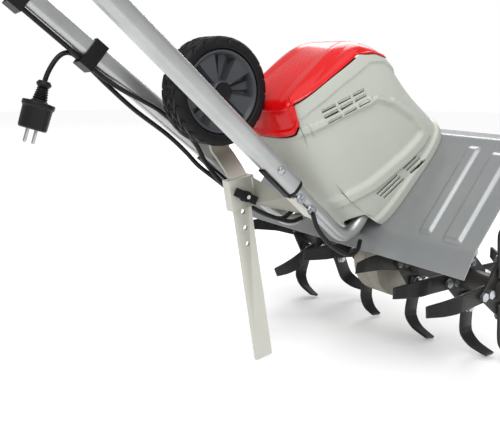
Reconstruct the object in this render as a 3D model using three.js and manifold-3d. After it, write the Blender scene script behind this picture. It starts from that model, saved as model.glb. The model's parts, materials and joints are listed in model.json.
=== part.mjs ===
// Electric garden tiller, standing in its working stance on tines and drag bar.
// Millimetres. X forward, Y to the machine's left, Z up, floor at Z = 0.
//
// Two nested frames carry most of the parts. The deck frame lies on the sloping
// deck plate: local X runs up the plate, local Z stands square to it and points
// along the handle tubes. Each side frame stands on the deck and leans outward
// with its handle tube, so local Z is the distance along that tube.

import * as THREE from 'three';
import { mergeVertices } from 'three/addons/utils/BufferGeometryUtils.js';
import Module from 'manifold-3d';

const wasm = await Module();
wasm.setup();

const DEG = Math.PI / 180;
const GAP = 0.3;

// ---- Stance ----
const STANCE_MID_X = -248.74;
const DECK_TILT = 49.4 * DEG;
const DECK_X = 156;
const DECK_Z = 200;

// ---- Deck plate (shield) and motor ----
const SHEET = 2;
const SHIELD_WIDTH = 518;
const SHIELD_REAR = { u: -39.6, w: -7.6 };
const SHIELD_FOLD_U = 183;
const SHIELD_FRONT = { u: 225, w: -50 };
const MOTOR_U = 76;
const MOTOR_RADIUS = 52;
const MOTOR_TOP = 150;
const SHAFT_RADIUS = 8;
const SHAFT_HOLE_RADIUS = 14;

// ---- Gear case and rotor ----
const AXLE_U = 14;
const AXLE_W = -139;
const AXLE_RADIUS = 10;
const AXLE_HALF_LENGTH = 244;
const CASE_RADIUS = 64;
const CASE_HALF_WIDTH = 27;
const WORM_RADIUS = 9;
const WHEEL_RADIUS = 52;
const WHEEL_TEETH = 36;
const WORM_BOTTOM = -184;
const HUB_RADIUS = 17;
const HUB_INNER_Y = 30;
const HUB_OUTER_Y = 236;
const STAR_OFFSETS = [56, 158, 222];
const STAR_PHASES = { 1: [-96, -66, -108], '-1': [-100, -90, -84] };
const STAR_HALF_SIZE = 36;
const STAR_THICKNESS = 4;
const TINE_THICKNESS = 5;
const TINE_HALF_WIDTH = 13;
const INNER_TINE_REACH = 0.45;

// ---- Hood and its red cover ----
const HOOD_WALL = 2.6;
const HOOD_FOOT = 0.4;
const HOOD_RING_POINTS = 32;
const HOOD_SQUARENESS = 0.5;
const HOOD_REAR_TAPER = 0.15;
const HOOD_LEVELS = [
  { level: 0, rear: -15, front: 200, half: 101 },
  { level: 0.25, rear: -30, front: 201, half: 101 },
  { level: 0.6, rear: -12, front: 203, half: 98 },
  { level: 0.85, rear: 17, front: 200, half: 91 },
  { level: 0.94, rear: 29, front: 189, half: 84 },
];
const HOOD_DOME_STEPS = [0.9, 0.7, 0.4];
const COVER_SEAM = [
  [-70, 208], [22, 208], [31, 216], [40, 236], [46, 241], [107, 224],
  [168, 207], [184, 184], [196, 155], [240, 150],
];

// ---- Handle tubes ----
const TUBE_U = -47;
const TUBE_Y = 64;
const TUBE_W = 33;
const SPLAY = 4.56 * DEG;
const LOWER_TUBE_RADIUS = 10.5;
const LOWER_TUBE_TOP = 212;
const MIDDLE_TUBE = { wide: 27.6, deep: 26, corner: 11, wall: 1.3, start: 148, end: 624 };
const LINER_RING = 6;
const FRAME_BOLT_Z = 188;
const UPPER_TUBE_RADIUS = 12.5;
const UPPER_TUBE_OFFSET = 31;
const FOLD_Z = 606;
const UPPER_TUBE_START = 588;
const GRIP_BEND_Z = 1100;
const GRIP_LENGTH = 150;
const GRIP_ANGLE = 40.6 * DEG;
const CROSSBAR_Z = 905;
const CLIP_POSITIONS = [424, 540];
const CABLE_RADIUS = 3.4;
const TUBE_SIDES = 16;
const BEND_STEPS = 6;

// ---- Drag bar, its sleeve and the transport wheel ----
const BAR_LEAN = 9.45 * DEG;
const BAR_WIDTH = 30;
const BAR_X = -3;
const BAR_THICKNESS = 5;
const BAR_HOLE_PITCH = 25;
const SLEEVE_LOW = 243;
const SLEEVE_HIGH = 288;
const CLAMP_Z = 262;
const WHEEL_X = -19;
const WHEEL_Z = 415;
const TYRE_RADIUS = 74;
const TYRE_HALF_WIDTH = 22.5;
const RIM_RADIUS = 56.5;

// ---- Finishes ----
const finish = (color, roughness, metalness) => (
  new THREE.MeshStandardMaterial({ color, roughness, metalness })
);
const FINISHES = {
  deck: finish(0x9a9b9d, 0.4, 0.3),
  hood: finish(0xbfc1b7, 0.45, 0),
  red: finish(0xd8141c, 0.18, 0),
  aluminium: finish(0xb9bbbd, 0.35, 0.9),
  casting: finish(0xa6a49a, 0.6, 0.7),
  blackSteel: finish(0x1b1b1c, 0.4, 0.5),
  zinc: finish(0xc9ccd0, 0.3, 0.9),
  greyPaint: finish(0xb9b8ae, 0.5, 0.2),
  blackPlastic: finish(0x1c1c1d, 0.6, 0),
  greyPlastic: finish(0x5c5f63, 0.5, 0),
  rubber: finish(0x151515, 0.85, 0),
  redPlastic: finish(0xc81e22, 0.4, 0),
};

// ---- Geometry helpers ----

function toSolid(geometry) {
  const bare = geometry.clone();
  bare.deleteAttribute('normal');
  bare.deleteAttribute('uv');
  const merged = mergeVertices(bare, 1e-4);
  return new wasm.Manifold(new wasm.Mesh({
    numProp: 3,
    vertProperties: new Float32Array(merged.attributes.position.array),
    triVerts: new Uint32Array(merged.index.array),
  }));
}

function toGeometry(solid) {
  const mesh = solid.getMesh();
  const geometry = new THREE.BufferGeometry();
  geometry.setAttribute('position', new THREE.BufferAttribute(mesh.vertProperties, 3));
  geometry.setIndex(new THREE.BufferAttribute(mesh.triVerts, 1));
  geometry.computeVertexNormals();
  return geometry;
}

function cut(geometry, ...tools) {
  return toGeometry(tools.reduce((left, tool) => left.subtract(toSolid(tool)), toSolid(geometry)));
}

function join(...geometries) {
  const [first, ...others] = geometries.map(toSolid);
  return toGeometry(others.reduce((sum, other) => sum.add(other), first));
}

function common(geometry, tool) {
  return toGeometry(toSolid(geometry).intersect(toSolid(tool)));
}

// A closed body through rings of equal point counts, with a fan over each end.
function skin(rings) {
  const count = rings[0].length;
  const centre = (ring) => ring.reduce((sum, p) => sum.add(p), new THREE.Vector3()).divideScalar(count);
  const points = [...rings.flat(), centre(rings[0]), centre(rings.at(-1))];
  const triangles = [];
  for (let i = 0; i < rings.length - 1; i += 1) {
    for (let j = 0; j < count; j += 1) {
      const a = i * count + j;
      const b = i * count + ((j + 1) % count);
      triangles.push([a, b, b + count], [a, b + count, a + count]);
    }
  }
  const last = (rings.length - 1) * count;
  for (let j = 0; j < count; j += 1) {
    const next = (j + 1) % count;
    triangles.push([points.length - 2, next, j], [points.length - 1, last + j, last + next]);
  }
  const volume = triangles.reduce((sum, [a, b, c]) => (
    sum + points[a].dot(new THREE.Vector3().crossVectors(points[b], points[c]))
  ), 0);
  const outward = volume > 0 ? triangles : triangles.map(([a, b, c]) => [a, c, b]);
  const geometry = new THREE.BufferGeometry().setFromPoints(points);
  geometry.setIndex(outward.flat());
  geometry.computeVertexNormals();
  return geometry;
}

function circle(radius) {
  return new THREE.Shape().absarc(0, 0, radius, 0, 2 * Math.PI);
}

function roundedRect(width, height, radius) {
  const shape = new THREE.Shape();
  const x = width / 2 - radius;
  const y = height / 2 - radius;
  [[x, y], [-x, y], [-x, -y], [x, -y]].forEach(([cx, cy], i) => {
    shape.absarc(cx, cy, radius, (i * Math.PI) / 2, ((i + 1) * Math.PI) / 2);
  });
  return shape;
}

// A rod standing on local Z from one height to another.
function rod(radius, from, to, sides = 16) {
  const geometry = new THREE.CylinderGeometry(radius, radius, to - from, sides);
  return geometry.rotateX(Math.PI / 2).translate(0, 0, (from + to) / 2);
}

// The same rod laid along Y, and along X.
const rodY = (radius, from, to, sides) => rod(radius, from, to, sides).rotateX(-Math.PI / 2);
const rodX = (radius, from, to, sides) => rod(radius, from, to, sides).rotateY(Math.PI / 2);

function block(x0, x1, y0, y1, z0, z1) {
  const geometry = new THREE.BoxGeometry(x1 - x0, y1 - y0, z1 - z0);
  return geometry.translate((x0 + x1) / 2, (y0 + y1) / 2, (z0 + z1) / 2);
}

// A shape drawn in X and Z, pulled along Y between two places.
function slab(shape, from, to, curveSegments = 8) {
  const geometry = new THREE.ExtrudeGeometry(shape, { depth: to - from, bevelEnabled: false, curveSegments });
  return geometry.rotateX(Math.PI / 2).translate(0, to, 0);
}

function prism(shape, from, to, curveSegments = 4) {
  const geometry = new THREE.ExtrudeGeometry(shape, { depth: to - from, bevelEnabled: false, curveSegments });
  return geometry.translate(0, 0, from);
}

// A body turned about local Z from [radius, height] pairs.
function turned(profile, segments = 24) {
  const points = profile.map(([r, z]) => new THREE.Vector2(r, z));
  return new THREE.LatheGeometry(points, segments).rotateX(Math.PI / 2);
}

function ring(outer, inner, from, to, segments = 24) {
  return turned([[inner, from], [outer, from], [outer, to], [inner, to], [inner, from]], segments);
}

function sweep(shape, curve, steps, curveSegments = 8) {
  return new THREE.ExtrudeGeometry(shape, { extrudePath: curve, steps, bevelEnabled: false, curveSegments });
}

const vec = (x, y, z) => new THREE.Vector3(x, y, z);
const spline = (points) => new THREE.CatmullRomCurve3(points.map((p) => vec(...p)), false, 'centripetal');

// ---- The scene graph ----

const machine = new THREE.Group();
machine.position.x = -STANCE_MID_X;

const deck = new THREE.Group();
deck.position.set(DECK_X, 0, DECK_Z);
deck.rotation.y = -DECK_TILT;
machine.add(deck);

const SIDES = [['left', 1], ['right', -1]];
const sideFrames = Object.fromEntries(SIDES.map(([name, sign]) => {
  const frame = new THREE.Group();
  frame.position.set(TUBE_U, sign * TUBE_Y, TUBE_W);
  frame.rotation.x = -sign * SPLAY;
  deck.add(frame);
  return [name, frame];
}));

const drag = new THREE.Group();
drag.position.z = (BAR_WIDTH / 2 - BAR_X) * Math.sin(BAR_LEAN);
drag.rotation.y = -BAR_LEAN;
machine.add(drag);

const rotor = new THREE.Group();
rotor.position.set(AXLE_U, 0, AXLE_W);
deck.add(rotor);

function place(parent, name, geometry, material) {
  const mesh = new THREE.Mesh(geometry, material);
  mesh.name = name;
  parent.add(mesh);
  return mesh;
}

// ---- Deck plate, motor and gear case ----

// Folded sheet: rear flange, sloping deck and front fall, seen from the side.
function shieldShape() {
  const shape = new THREE.Shape();
  shape.moveTo(SHIELD_REAR.u, SHIELD_REAR.w);
  shape.lineTo(SHIELD_REAR.u + 0.4, SHIELD_REAR.w - SHEET);
  shape.lineTo(0.2, -SHEET);
  shape.lineTo(SHIELD_FOLD_U - 0.9, -SHEET);
  shape.lineTo(SHIELD_FRONT.u - 1.6, SHIELD_FRONT.w - 1.2);
  shape.lineTo(SHIELD_FRONT.u, SHIELD_FRONT.w);
  shape.lineTo(SHIELD_FOLD_U, 0);
  shape.lineTo(0, 0);
  shape.closePath();
  return shape;
}

function buildShield() {
  const sheet = slab(shieldShape(), -SHIELD_WIDTH / 2, SHIELD_WIDTH / 2);
  const shaftHole = rod(SHAFT_HOLE_RADIUS, -10, 10).translate(MOTOR_U, 0, 0);
  place(deck, 'shield', cut(sheet, shaftHole), FINISHES.deck);
}

function buildMotor() {
  const wall = 5;
  const frameProfile = [
    [MOTOR_RADIUS - wall, 0.4], [56, 0.4], [56, 7], [MOTOR_RADIUS, 7], [MOTOR_RADIUS, MOTOR_TOP],
    [SHAFT_RADIUS + 1, MOTOR_TOP], [SHAFT_RADIUS + 1, MOTOR_TOP - 4],
    [MOTOR_RADIUS - wall, MOTOR_TOP - 4], [MOTOR_RADIUS - wall, 0.4],
  ];
  place(deck, 'motor_frame', turned(frameProfile).translate(MOTOR_U, 0, 0), FINISHES.casting);

  const thread = [[0, WORM_BOTTOM], [6, WORM_BOTTOM]];
  const turns = 6;
  const pitch = 11;
  for (let i = 0; i < turns; i += 1) {
    const low = AXLE_W - (turns * pitch) / 2 + i * pitch;
    thread.push([6, low], [WORM_RADIUS, low + pitch * 0.4], [WORM_RADIUS, low + pitch * 0.6]);
  }
  thread.push([SHAFT_RADIUS, -98], [SHAFT_RADIUS, MOTOR_TOP + 24], [0, MOTOR_TOP + 24]);
  const armature = rod(30, 24, 118, 20);
  place(deck, 'motor_rotor', join(turned(thread, 12), armature).translate(MOTOR_U, 0, 0), FINISHES.zinc);

  const fanHub = ring(14, SHAFT_RADIUS + GAP, MOTOR_TOP + 4, MOTOR_TOP + 18, 20);
  const fanDisc = ring(44, SHAFT_RADIUS + GAP, MOTOR_TOP + 4, MOTOR_TOP + 6, 20);
  const blades = Array.from({ length: 8 }, (_, i) => (
    block(12, 43, -0.8, 0.8, MOTOR_TOP + 5, MOTOR_TOP + 17).rotateZ((i * Math.PI) / 4)
  ));
  const fan = join(fanHub, fanDisc, ...blades).translate(MOTOR_U, 0, 0);
  place(deck, 'cooling_fan', fan, FINISHES.blackPlastic);
}

// Round case around the worm wheel, with a neck up to the deck plate.
function caseShape(radius) {
  const shape = new THREE.Shape();
  const neckRear = AXLE_U - 12;
  const neckFront = MOTOR_U + 20;
  shape.moveTo(neckRear, -SHEET - GAP);
  shape.lineTo(neckRear, AXLE_W + Math.sqrt(radius ** 2 - (neckRear - AXLE_U) ** 2));
  const neckTurn = Math.PI - Math.acos((AXLE_U - neckRear) / radius);
  shape.absarc(AXLE_U, AXLE_W, radius, neckTurn, 1.72 * Math.PI, false);
  shape.lineTo(neckFront, WORM_BOTTOM - 6);
  shape.lineTo(neckFront, -SHEET - GAP);
  shape.closePath();
  return shape;
}

function buildGearCase() {
  SIDES.forEach(([name, sign]) => {
    const inner = sign > 0 ? 0.15 : -CASE_HALF_WIDTH;
    const outer = sign > 0 ? CASE_HALF_WIDTH : -0.15;
    const shell = slab(caseShape(CASE_RADIUS), inner, outer, 12);
    const wheelRoom = rodY(WHEEL_RADIUS + 4, -18, 18, 32).translate(AXLE_U, 0, AXLE_W);
    const axleHole = rodY(AXLE_RADIUS + 0.6, -40, 40).translate(AXLE_U, 0, AXLE_W);
    const bearingSeat = rodY(19, 17, 25, 20).translate(AXLE_U, sign > 0 ? 0 : -42, AXLE_W);
    const wormRoom = rod(14, WORM_BOTTOM - 3, 0).translate(MOTOR_U, 0, 0);
    const geometry = cut(shell, wheelRoom, axleHole, bearingSeat, wormRoom);
    place(deck, `gear_case_${name}`, geometry, FINISHES.casting);

    const bearing = ring(19 - GAP, AXLE_RADIUS + GAP, -3.5, 3.5, 20).rotateX(Math.PI / 2);
    bearing.translate(0, sign * 21, 0);
    place(rotor, `axle_bearing_${name}`, bearing, FINISHES.zinc);
  });
}

// ---- Rotor: axle, worm wheel, two hubs and six stars of four tines ----

function wormWheelShape() {
  const shape = new THREE.Shape();
  for (let i = 0; i < WHEEL_TEETH * 2; i += 1) {
    const angle = (i * Math.PI) / WHEEL_TEETH;
    const radius = i % 2 ? WHEEL_RADIUS : WHEEL_RADIUS - 5;
    const point = [radius * Math.cos(angle), radius * Math.sin(angle)];
    if (i === 0) shape.moveTo(...point);
    else shape.lineTo(...point);
  }
  shape.closePath();
  shape.holes.push(new THREE.Path().absarc(0, 0, AXLE_RADIUS + GAP, 0, 2 * Math.PI, true));
  return shape;
}

function hubGeometry(sign) {
  const from = sign > 0 ? HUB_INNER_Y : -HUB_OUTER_Y;
  const to = from + HUB_OUTER_Y - HUB_INNER_Y;
  return ring(HUB_RADIUS, AXLE_RADIUS + GAP, from, to, 20).rotateX(-Math.PI / 2);
}

// One star: a square plate around the hub with a blade bolted to each corner.
function starGeometry(sign, star) {
  const offset = sign * STAR_OFFSETS[star];
  const phase = STAR_PHASES[sign][star];
  const half = STAR_THICKNESS / 2;
  const plate = slab(roundedRect(2 * STAR_HALF_SIZE, 2 * STAR_HALF_SIZE, 6), offset - half, offset + half, 2);
  plate.rotateY(-(phase * DEG + Math.PI / 4));
  const tines = [0, 1, 2, 3].map((i) => {
    const bend = i % 2 ? 1 : -1;
    const reach = star === 0 && bend === -sign ? INNER_TINE_REACH : 1;
    const tine = tineGeometry(bend, reach).rotateY(Math.PI / 2 - (phase + 90 * i) * DEG);
    return tine.translate(0, offset + bend * (half + TINE_THICKNESS / 2 - 0.2), 0);
  });
  const bore = rodY(HUB_RADIUS + GAP, -300, 300, 20);
  return cut(join(plate, ...tines), bore);
}

// Flat steel blade: straight out from the star plate, then bent sideways and swept back.
// Local Z is radial, local X tangential, local Y sideways.
function tineGeometry(bend, reach) {
  const stations = [
    { side: 0, out: 21, lean: 0, sweep: 0, half: TINE_HALF_WIDTH },
    { side: 0, out: 78, lean: 0, sweep: 0, half: TINE_HALF_WIDTH },
    { side: 3, out: 91, lean: 28, sweep: -2, half: TINE_HALF_WIDTH },
    { side: 13, out: 103, lean: 54, sweep: -6, half: TINE_HALF_WIDTH - 1 },
    { side: 38, out: 115.2, lean: 68, sweep: -15, half: TINE_HALF_WIDTH - 4 },
  ];
  const rings = stations.map(({ side, out, lean, sweep: back, half }) => {
    const across = Math.cos(lean * DEG) * (TINE_THICKNESS / 2);
    const down = Math.sin(lean * DEG) * (TINE_THICKNESS / 2);
    return [[-1, -1], [1, -1], [1, 1], [-1, 1]].map(([width, face]) => (
      vec(back + width * half, bend * (side * reach + face * across), out - face * down)
    ));
  });
  return skin(rings);
}

function buildRotor() {
  place(rotor, 'tine_axle', rodY(AXLE_RADIUS, -AXLE_HALF_LENGTH, AXLE_HALF_LENGTH, 20), FINISHES.blackSteel);
  place(rotor, 'worm_wheel', slab(wormWheelShape(), -7, 7, 10), FINISHES.casting);
  SIDES.forEach(([name, sign]) => {
    place(rotor, `tine_hub_${name}`, hubGeometry(sign), FINISHES.blackSteel);
    STAR_OFFSETS.forEach((_, star) => {
      place(rotor, `tine_star_${name}_${star + 1}`, starGeometry(sign, star), FINISHES.blackSteel);
    });
  });
  rotor.rotation.y = DECK_TILT;
}

// ---- Hood and red cover ----

function hoodRoof(u) {
  return 262 - 0.27 * (u - 20);
}

function hoodRing({ level, rear, front, half }, inset, rise = 0) {
  const middle = (rear + front) / 2;
  const reach = (front - rear) / 2 - inset;
  return Array.from({ length: HOOD_RING_POINTS }, (_, i) => {
    const angle = (2 * Math.PI * (i + 0.5)) / HOOD_RING_POINTS;
    const c = Math.cos(angle);
    const s = Math.sin(angle);
    const u = middle + reach * Math.sign(c) * Math.abs(c) ** HOOD_SQUARENESS;
    const taper = 1 - HOOD_REAR_TAPER * (front - u) / (front - rear);
    const y = (half * taper - inset) * Math.sign(s) * Math.abs(s) ** HOOD_SQUARENESS;
    return vec(u, y, Math.max(level * hoodRoof(u) + rise, HOOD_FOOT));
  });
}

function hoodSolid(inset) {
  const rings = HOOD_LEVELS.map((section) => hoodRing(section, inset));
  const top = HOOD_LEVELS.at(-1);
  const middle = (top.rear + top.front) / 2;
  HOOD_DOME_STEPS.forEach((size) => {
    const section = {
      level: top.level,
      rear: middle + (top.rear - middle) * size,
      front: middle + (top.front - middle) * size,
      half: top.half * size,
    };
    rings.push(hoodRing(section, inset * size, 15 * Math.sqrt(1 - size ** 2) - inset));
  });
  return skin(rings);
}

// Everything above the seam line, as a slab across the whole hood.
function aboveSeam(drop) {
  const shape = new THREE.Shape();
  COVER_SEAM.forEach(([u, w], i) => {
    if (i === 0) shape.moveTo(u, w - drop);
    else shape.lineTo(u, w - drop);
  });
  shape.lineTo(240, 320);
  shape.lineTo(-70, 320);
  shape.closePath();
  return slab(shape, -150, 150);
}

function buildHood() {
  const room = hoodSolid(HOOD_WALL);
  const foot = block(-80, 260, -150, 150, -20, HOOD_FOOT + 0.1);
  const shell = cut(hoodSolid(0), room, foot);
  const passages = SIDES.flatMap(([, sign]) => [
    rodX(15, -70, 30, 16).translate(0, sign * TUBE_Y, TUBE_W - 4),
    block(-70, 30, sign * TUBE_Y - 15, sign * TUBE_Y + 15, -2, TUBE_W - 4),
  ]);
  const lead = rodX(6, -70, 0, 12).translate(0, 30, 46);
  place(deck, 'hood', cut(shell, aboveSeam(0.5), ...passages, lead), FINISHES.hood);
  place(deck, 'top_cover', common(shell, aboveSeam(0)), FINISHES.red);
}

// ---- Handle frame ----

// A round tube along a bend in local X and Z: straight, one arc-like corner, straight.
function bentTube(radius, start, corner, end, bend) {
  const toStart = start.clone().sub(corner).setLength(bend);
  const toEnd = end.clone().sub(corner).setLength(bend);
  const from = corner.clone().add(toStart);
  const curve = new THREE.QuadraticBezierCurve3(from, corner, corner.clone().add(toEnd));
  const centres = [start, ...curve.getPoints(BEND_STEPS), end];
  return skin(centres.map((centre, i) => {
    const before = centres[Math.max(i - 1, 0)];
    const after = centres[Math.min(i + 1, centres.length - 1)];
    const across = after.clone().sub(before).normalize().cross(vec(0, 1, 0));
    return Array.from({ length: TUBE_SIDES }, (_, j) => {
      const angle = (2 * Math.PI * j) / TUBE_SIDES;
      const point = centre.clone().addScaledVector(across, radius * Math.cos(angle));
      return point.setY(radius * Math.sin(angle));
    });
  }));
}

function lowerTube() {
  const low = -5;
  return bentTube(LOWER_TUBE_RADIUS, vec(95, 0, low), vec(0, 0, low), vec(0, 0, LOWER_TUBE_TOP), 36);
}

function upperTube() {
  const corner = vec(0, 0, GRIP_BEND_Z);
  const out = vec(-Math.sin(GRIP_ANGLE), 0, Math.cos(GRIP_ANGLE));
  const end = corner.clone().addScaledVector(out, GRIP_LENGTH);
  return bentTube(UPPER_TUBE_RADIUS, vec(0, 0, UPPER_TUBE_START), corner, end, 40);
}

function middleSection(growth) {
  const { wide, deep, corner } = MIDDLE_TUBE;
  return roundedRect(wide + 2 * growth, deep + 2 * growth, corner + growth);
}

function liner() {
  const { start, wall } = MIDDLE_TUBE;
  const inside = prism(middleSection(-wall - GAP), start - LINER_RING, start + 56);
  const collar = prism(middleSection(0), start - LINER_RING, start - GAP);
  const tongue = block(-17, -10, -6, 6, start - LINER_RING, start - GAP);
  const strip = block(-17, -MIDDLE_TUBE.wide / 2 - GAP, -6, 6, start - LINER_RING, start + 58);
  const bore = rod(LOWER_TUBE_RADIUS + GAP, 0, 400);
  return cut(join(inside, collar, tongue, strip), bore, boltHole(FRAME_BOLT_Z, 3.4));
}

const boltHole = (z, radius) => rodY(radius, -40, 40, 12).translate(0, 0, z);

// A domed bolt along local Y with its nut on the inner side.
function crossBolt(sign, from, to, radius, headRadius) {
  const shank = rodY(radius, Math.min(sign * from, sign * to), Math.max(sign * from, sign * to), 12);
  const dome = [[0, 0], [headRadius, 0], [headRadius * 0.85, 2.6], [0, 4.2]];
  const head = turned(dome, 16).rotateX(-Math.PI / 2);
  const nut = rodY(headRadius * 0.95, -2.6, 2.6, 6);
  head.scale(1, sign, 1);
  if (sign < 0) head.index.array.reverse();
  return join(shank, head.translate(0, sign * (to - 0.2), 0), nut.translate(0, sign * (from - 2), 0));
}

function buildTubes() {
  SIDES.forEach(([name, sign]) => {
    const frame = sideFrames[name];
    const bracketHoles = [100, 128].map((z) => rodX(3.4, -30, 30, 12).translate(0, 0, z));
    const lower = cut(lowerTube(), boltHole(FRAME_BOLT_Z, 3.4), ...bracketHoles);
    place(frame, `lower_tube_${name}`, lower, FINISHES.aluminium);
    place(frame, `tube_liner_${name}`, liner(), FINISHES.blackPlastic);

    const { start, end, wall } = MIDDLE_TUBE;
    const middle = prism(middleSection(0), start, end);
    const hollow = prism(middleSection(-wall), start - 1, end + 1);
    const foldHole = rodY(4.4, -60, 60, 12).rotateX(sign * SPLAY).translate(0, 0, FOLD_Z);
    const middleTube = cut(middle, hollow, boltHole(FRAME_BOLT_Z, 3.4), foldHole);
    place(frame, `middle_tube_${name}`, middleTube, FINISHES.aluminium);

    const reach = MIDDLE_TUBE.deep / 2 + 0.4;
    const frameBolt = crossBolt(sign, -reach - 1, reach, 3, 6.5).translate(0, 0, FRAME_BOLT_Z);
    place(frame, `frame_bolt_${name}`, frameBolt, FINISHES.zinc);

    const saddleBore = rodX(LOWER_TUBE_RADIUS + GAP, -10, 120, 20).translate(0, 0, -5);
    const saddle = block(70, 92, -15, 15, -TUBE_W + 2.2, -5);
    place(frame, `tube_saddle_${name}`, cut(saddle, saddleBore), FINISHES.blackPlastic);
  });
}

function buildClips() {
  CLIP_POSITIONS.forEach((z, i) => {
    const body = block(-25.5, 15.5, -15.5, 15, z - 10.5, z + 10.5);
    const tubeRoom = prism(middleSection(GAP), z - 20, z + 20);
    const leadRoom = block(-23, -10, -9, 9, z - 20, z + 20);
    place(sideFrames.left, `cable_clip_${i + 1}`, cut(body, tubeRoom, leadRoom), FINISHES.blackPlastic);
  });
}

// ---- Folding upper handle ----

function buildUpperHandle() {
  SIDES.forEach(([name, sign]) => {
    const frame = sideFrames[name];
    const shift = sign * UPPER_TUBE_OFFSET;
    const foldHole = rodY(4.4, -60, 60, 12).rotateX(sign * SPLAY).translate(0, 0, FOLD_Z);
    const tube = upperTube().translate(0, shift, 0);
    const boreEnds = rodY(5.6, -40, 40, 12).translate(0, 0, CROSSBAR_Z);
    place(frame, `upper_tube_${name}`, cut(tube, foldHole, boreEnds), FINISHES.aluminium);

    const grip = ring(16.5, UPPER_TUBE_RADIUS + GAP, 0, GRIP_LENGTH - 45, 20);
    const cap = rod(16.5, GRIP_LENGTH - 45 - 0.1, GRIP_LENGTH - 39, 20);
    const gripBody = join(grip, cap).rotateY(-GRIP_ANGLE);
    const start = 46;
    gripBody.translate(-Math.sin(GRIP_ANGLE) * start, shift, GRIP_BEND_Z + Math.cos(GRIP_ANGLE) * start);
    place(frame, `grip_${name}`, gripBody, FINISHES.rubber);
  });
}

function crossbarPoint(z, offset) {
  return {
    y: TUBE_Y + Math.sin(SPLAY) * z + Math.cos(SPLAY) * offset,
    w: TUBE_W + Math.cos(SPLAY) * z - Math.sin(SPLAY) * offset,
  };
}

function buildCrossbar() {
  const { y, w } = crossbarPoint(CROSSBAR_Z, UPPER_TUBE_OFFSET);
  const half = y - UPPER_TUBE_RADIUS - 1.6;
  place(deck, 'handle_crossbar', rodY(9, -half, half, 16).translate(TUBE_U, 0, w), FINISHES.aluminium);
}

function buildFold() {
  SIDES.forEach(([name, sign]) => {
    const { y: yMiddle, w } = crossbarPoint(FOLD_Z, 0);
    const { y: yUpper } = crossbarPoint(FOLD_Z, UPPER_TUBE_OFFSET);
    const innerFace = yMiddle - MIDDLE_TUBE.deep / 2 - 1.5;
    const outerFace = yUpper + UPPER_TUBE_RADIUS + 1.6;
    const bolt = crossBolt(sign, innerFace - 1, outerFace + 5, 3.9, 7.5).translate(TUBE_U, 0, w);
    place(deck, `fold_bolt_${name}`, bolt, FINISHES.zinc);

    const spacerFrom = yMiddle + MIDDLE_TUBE.deep / 2 + 1;
    const spacerTo = yUpper - UPPER_TUBE_RADIUS - 1.2;
    const spacer = ring(12, 4.3, Math.min(sign * spacerFrom, sign * spacerTo),
      Math.max(sign * spacerFrom, sign * spacerTo), 20).rotateX(-Math.PI / 2);
    place(deck, `fold_spacer_${name}`, spacer.translate(TUBE_U, 0, w), FINISHES.blackPlastic);

    const knobFrom = outerFace + 10;
    const lobes = Array.from({ length: 3 }, (_, i) => (
      rod(8, 0, 12, 12).translate(14, 0, 0).rotateZ((i * 2 * Math.PI) / 3)
    ));
    const knob = join(rod(13, 0, 14, 20), ...lobes).rotateX(-Math.PI / 2);
    knob.translate(TUBE_U, sign > 0 ? knobFrom : -knobFrom - 14, w);
    place(deck, `fold_knob_${name}`, knob, FINISHES.blackPlastic);
  });
}

function buildSwitch() {
  const frame = sideFrames.left;
  const y = UPPER_TUBE_OFFSET;
  const tubeRoom = rod(UPPER_TUBE_RADIUS + GAP, 900, 1200, 24).translate(0, y, 0);
  const box = block(-34, 19, y - 22, y + 22, 940, 1044);
  const leverSlot = block(-40, -22, y - 7, y + 7, 1016, 1050);
  const buttonWell = rodY(8.4, y - 30, y - 9.5, 16).translate(-24, 0, 985);
  place(frame, 'switch_box', cut(box, tubeRoom, leverSlot, buttonWell), FINISHES.blackPlastic);

  const out = [-Math.sin(GRIP_ANGLE), Math.cos(GRIP_ANGLE)];
  const under = [-Math.cos(GRIP_ANGLE), -Math.sin(GRIP_ANGLE)];
  const along = (distance, drop) => [
    distance * out[0] + drop * under[0],
    GRIP_BEND_Z + distance * out[1] + drop * under[1],
  ];
  const route = [[-29, 1022], [-33, 1050], along(20, 33), along(80, 31), along(136, 34)];
  const rings = route.map(([x, z], i) => {
    const before = route[Math.max(i - 1, 0)];
    const after = route[Math.min(i + 1, route.length - 1)];
    const length = Math.hypot(after[0] - before[0], after[1] - before[1]);
    const nx = (-(after[1] - before[1]) / length) * 2.5;
    const nz = ((after[0] - before[0]) / length) * 2.5;
    return [[-1, -1], [1, -1], [1, 1], [-1, 1]].map(([width, face]) => (
      vec(x + face * nx, y + width * 6, z + face * nz)
    ));
  });
  place(frame, 'switch_lever', skin(rings), FINISHES.redPlastic);

  const button = rodY(7.6, y - 27, y - 14.4, 16).translate(-24, 0, 985);
  place(frame, 'safety_button', button, FINISHES.redPlastic);
}

// ---- Drag bar, sleeve bracket and clamp ----

function barGeometry() {
  const half = BAR_WIDTH / 2;
  const stations = [
    [BAR_X, 0, 0], [BAR_X, 0, 290], [-1, 12, 300], [0, 30, 316],
    [BAR_X, 36, 326], [WHEEL_X, 36, WHEEL_Z + 16],
  ];
  const rings = stations.map(([x, y, z], i) => {
    const tilt = [0, 14, 50, 50, 14, 0][i] * DEG;
    const across = Math.cos(tilt) * (BAR_THICKNESS / 2);
    const down = Math.sin(tilt) * (BAR_THICKNESS / 2);
    return [[-1, -1], [1, -1], [1, 1], [-1, 1]].map(([width, face]) => (
      vec(x + width * half, y + face * across, z - face * down)
    ));
  });
  const holes = [0, 1, 2, 3].map((i) => (
    rodY(3.6, -10, 10, 12).translate(BAR_X, 0, CLAMP_Z - i * BAR_HOLE_PITCH)
  ));
  const axleHole = rodY(6.4, 20, 60, 16).translate(WHEEL_X, 0, WHEEL_Z);
  return cut(skin(rings), ...holes, axleHole);
}

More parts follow.
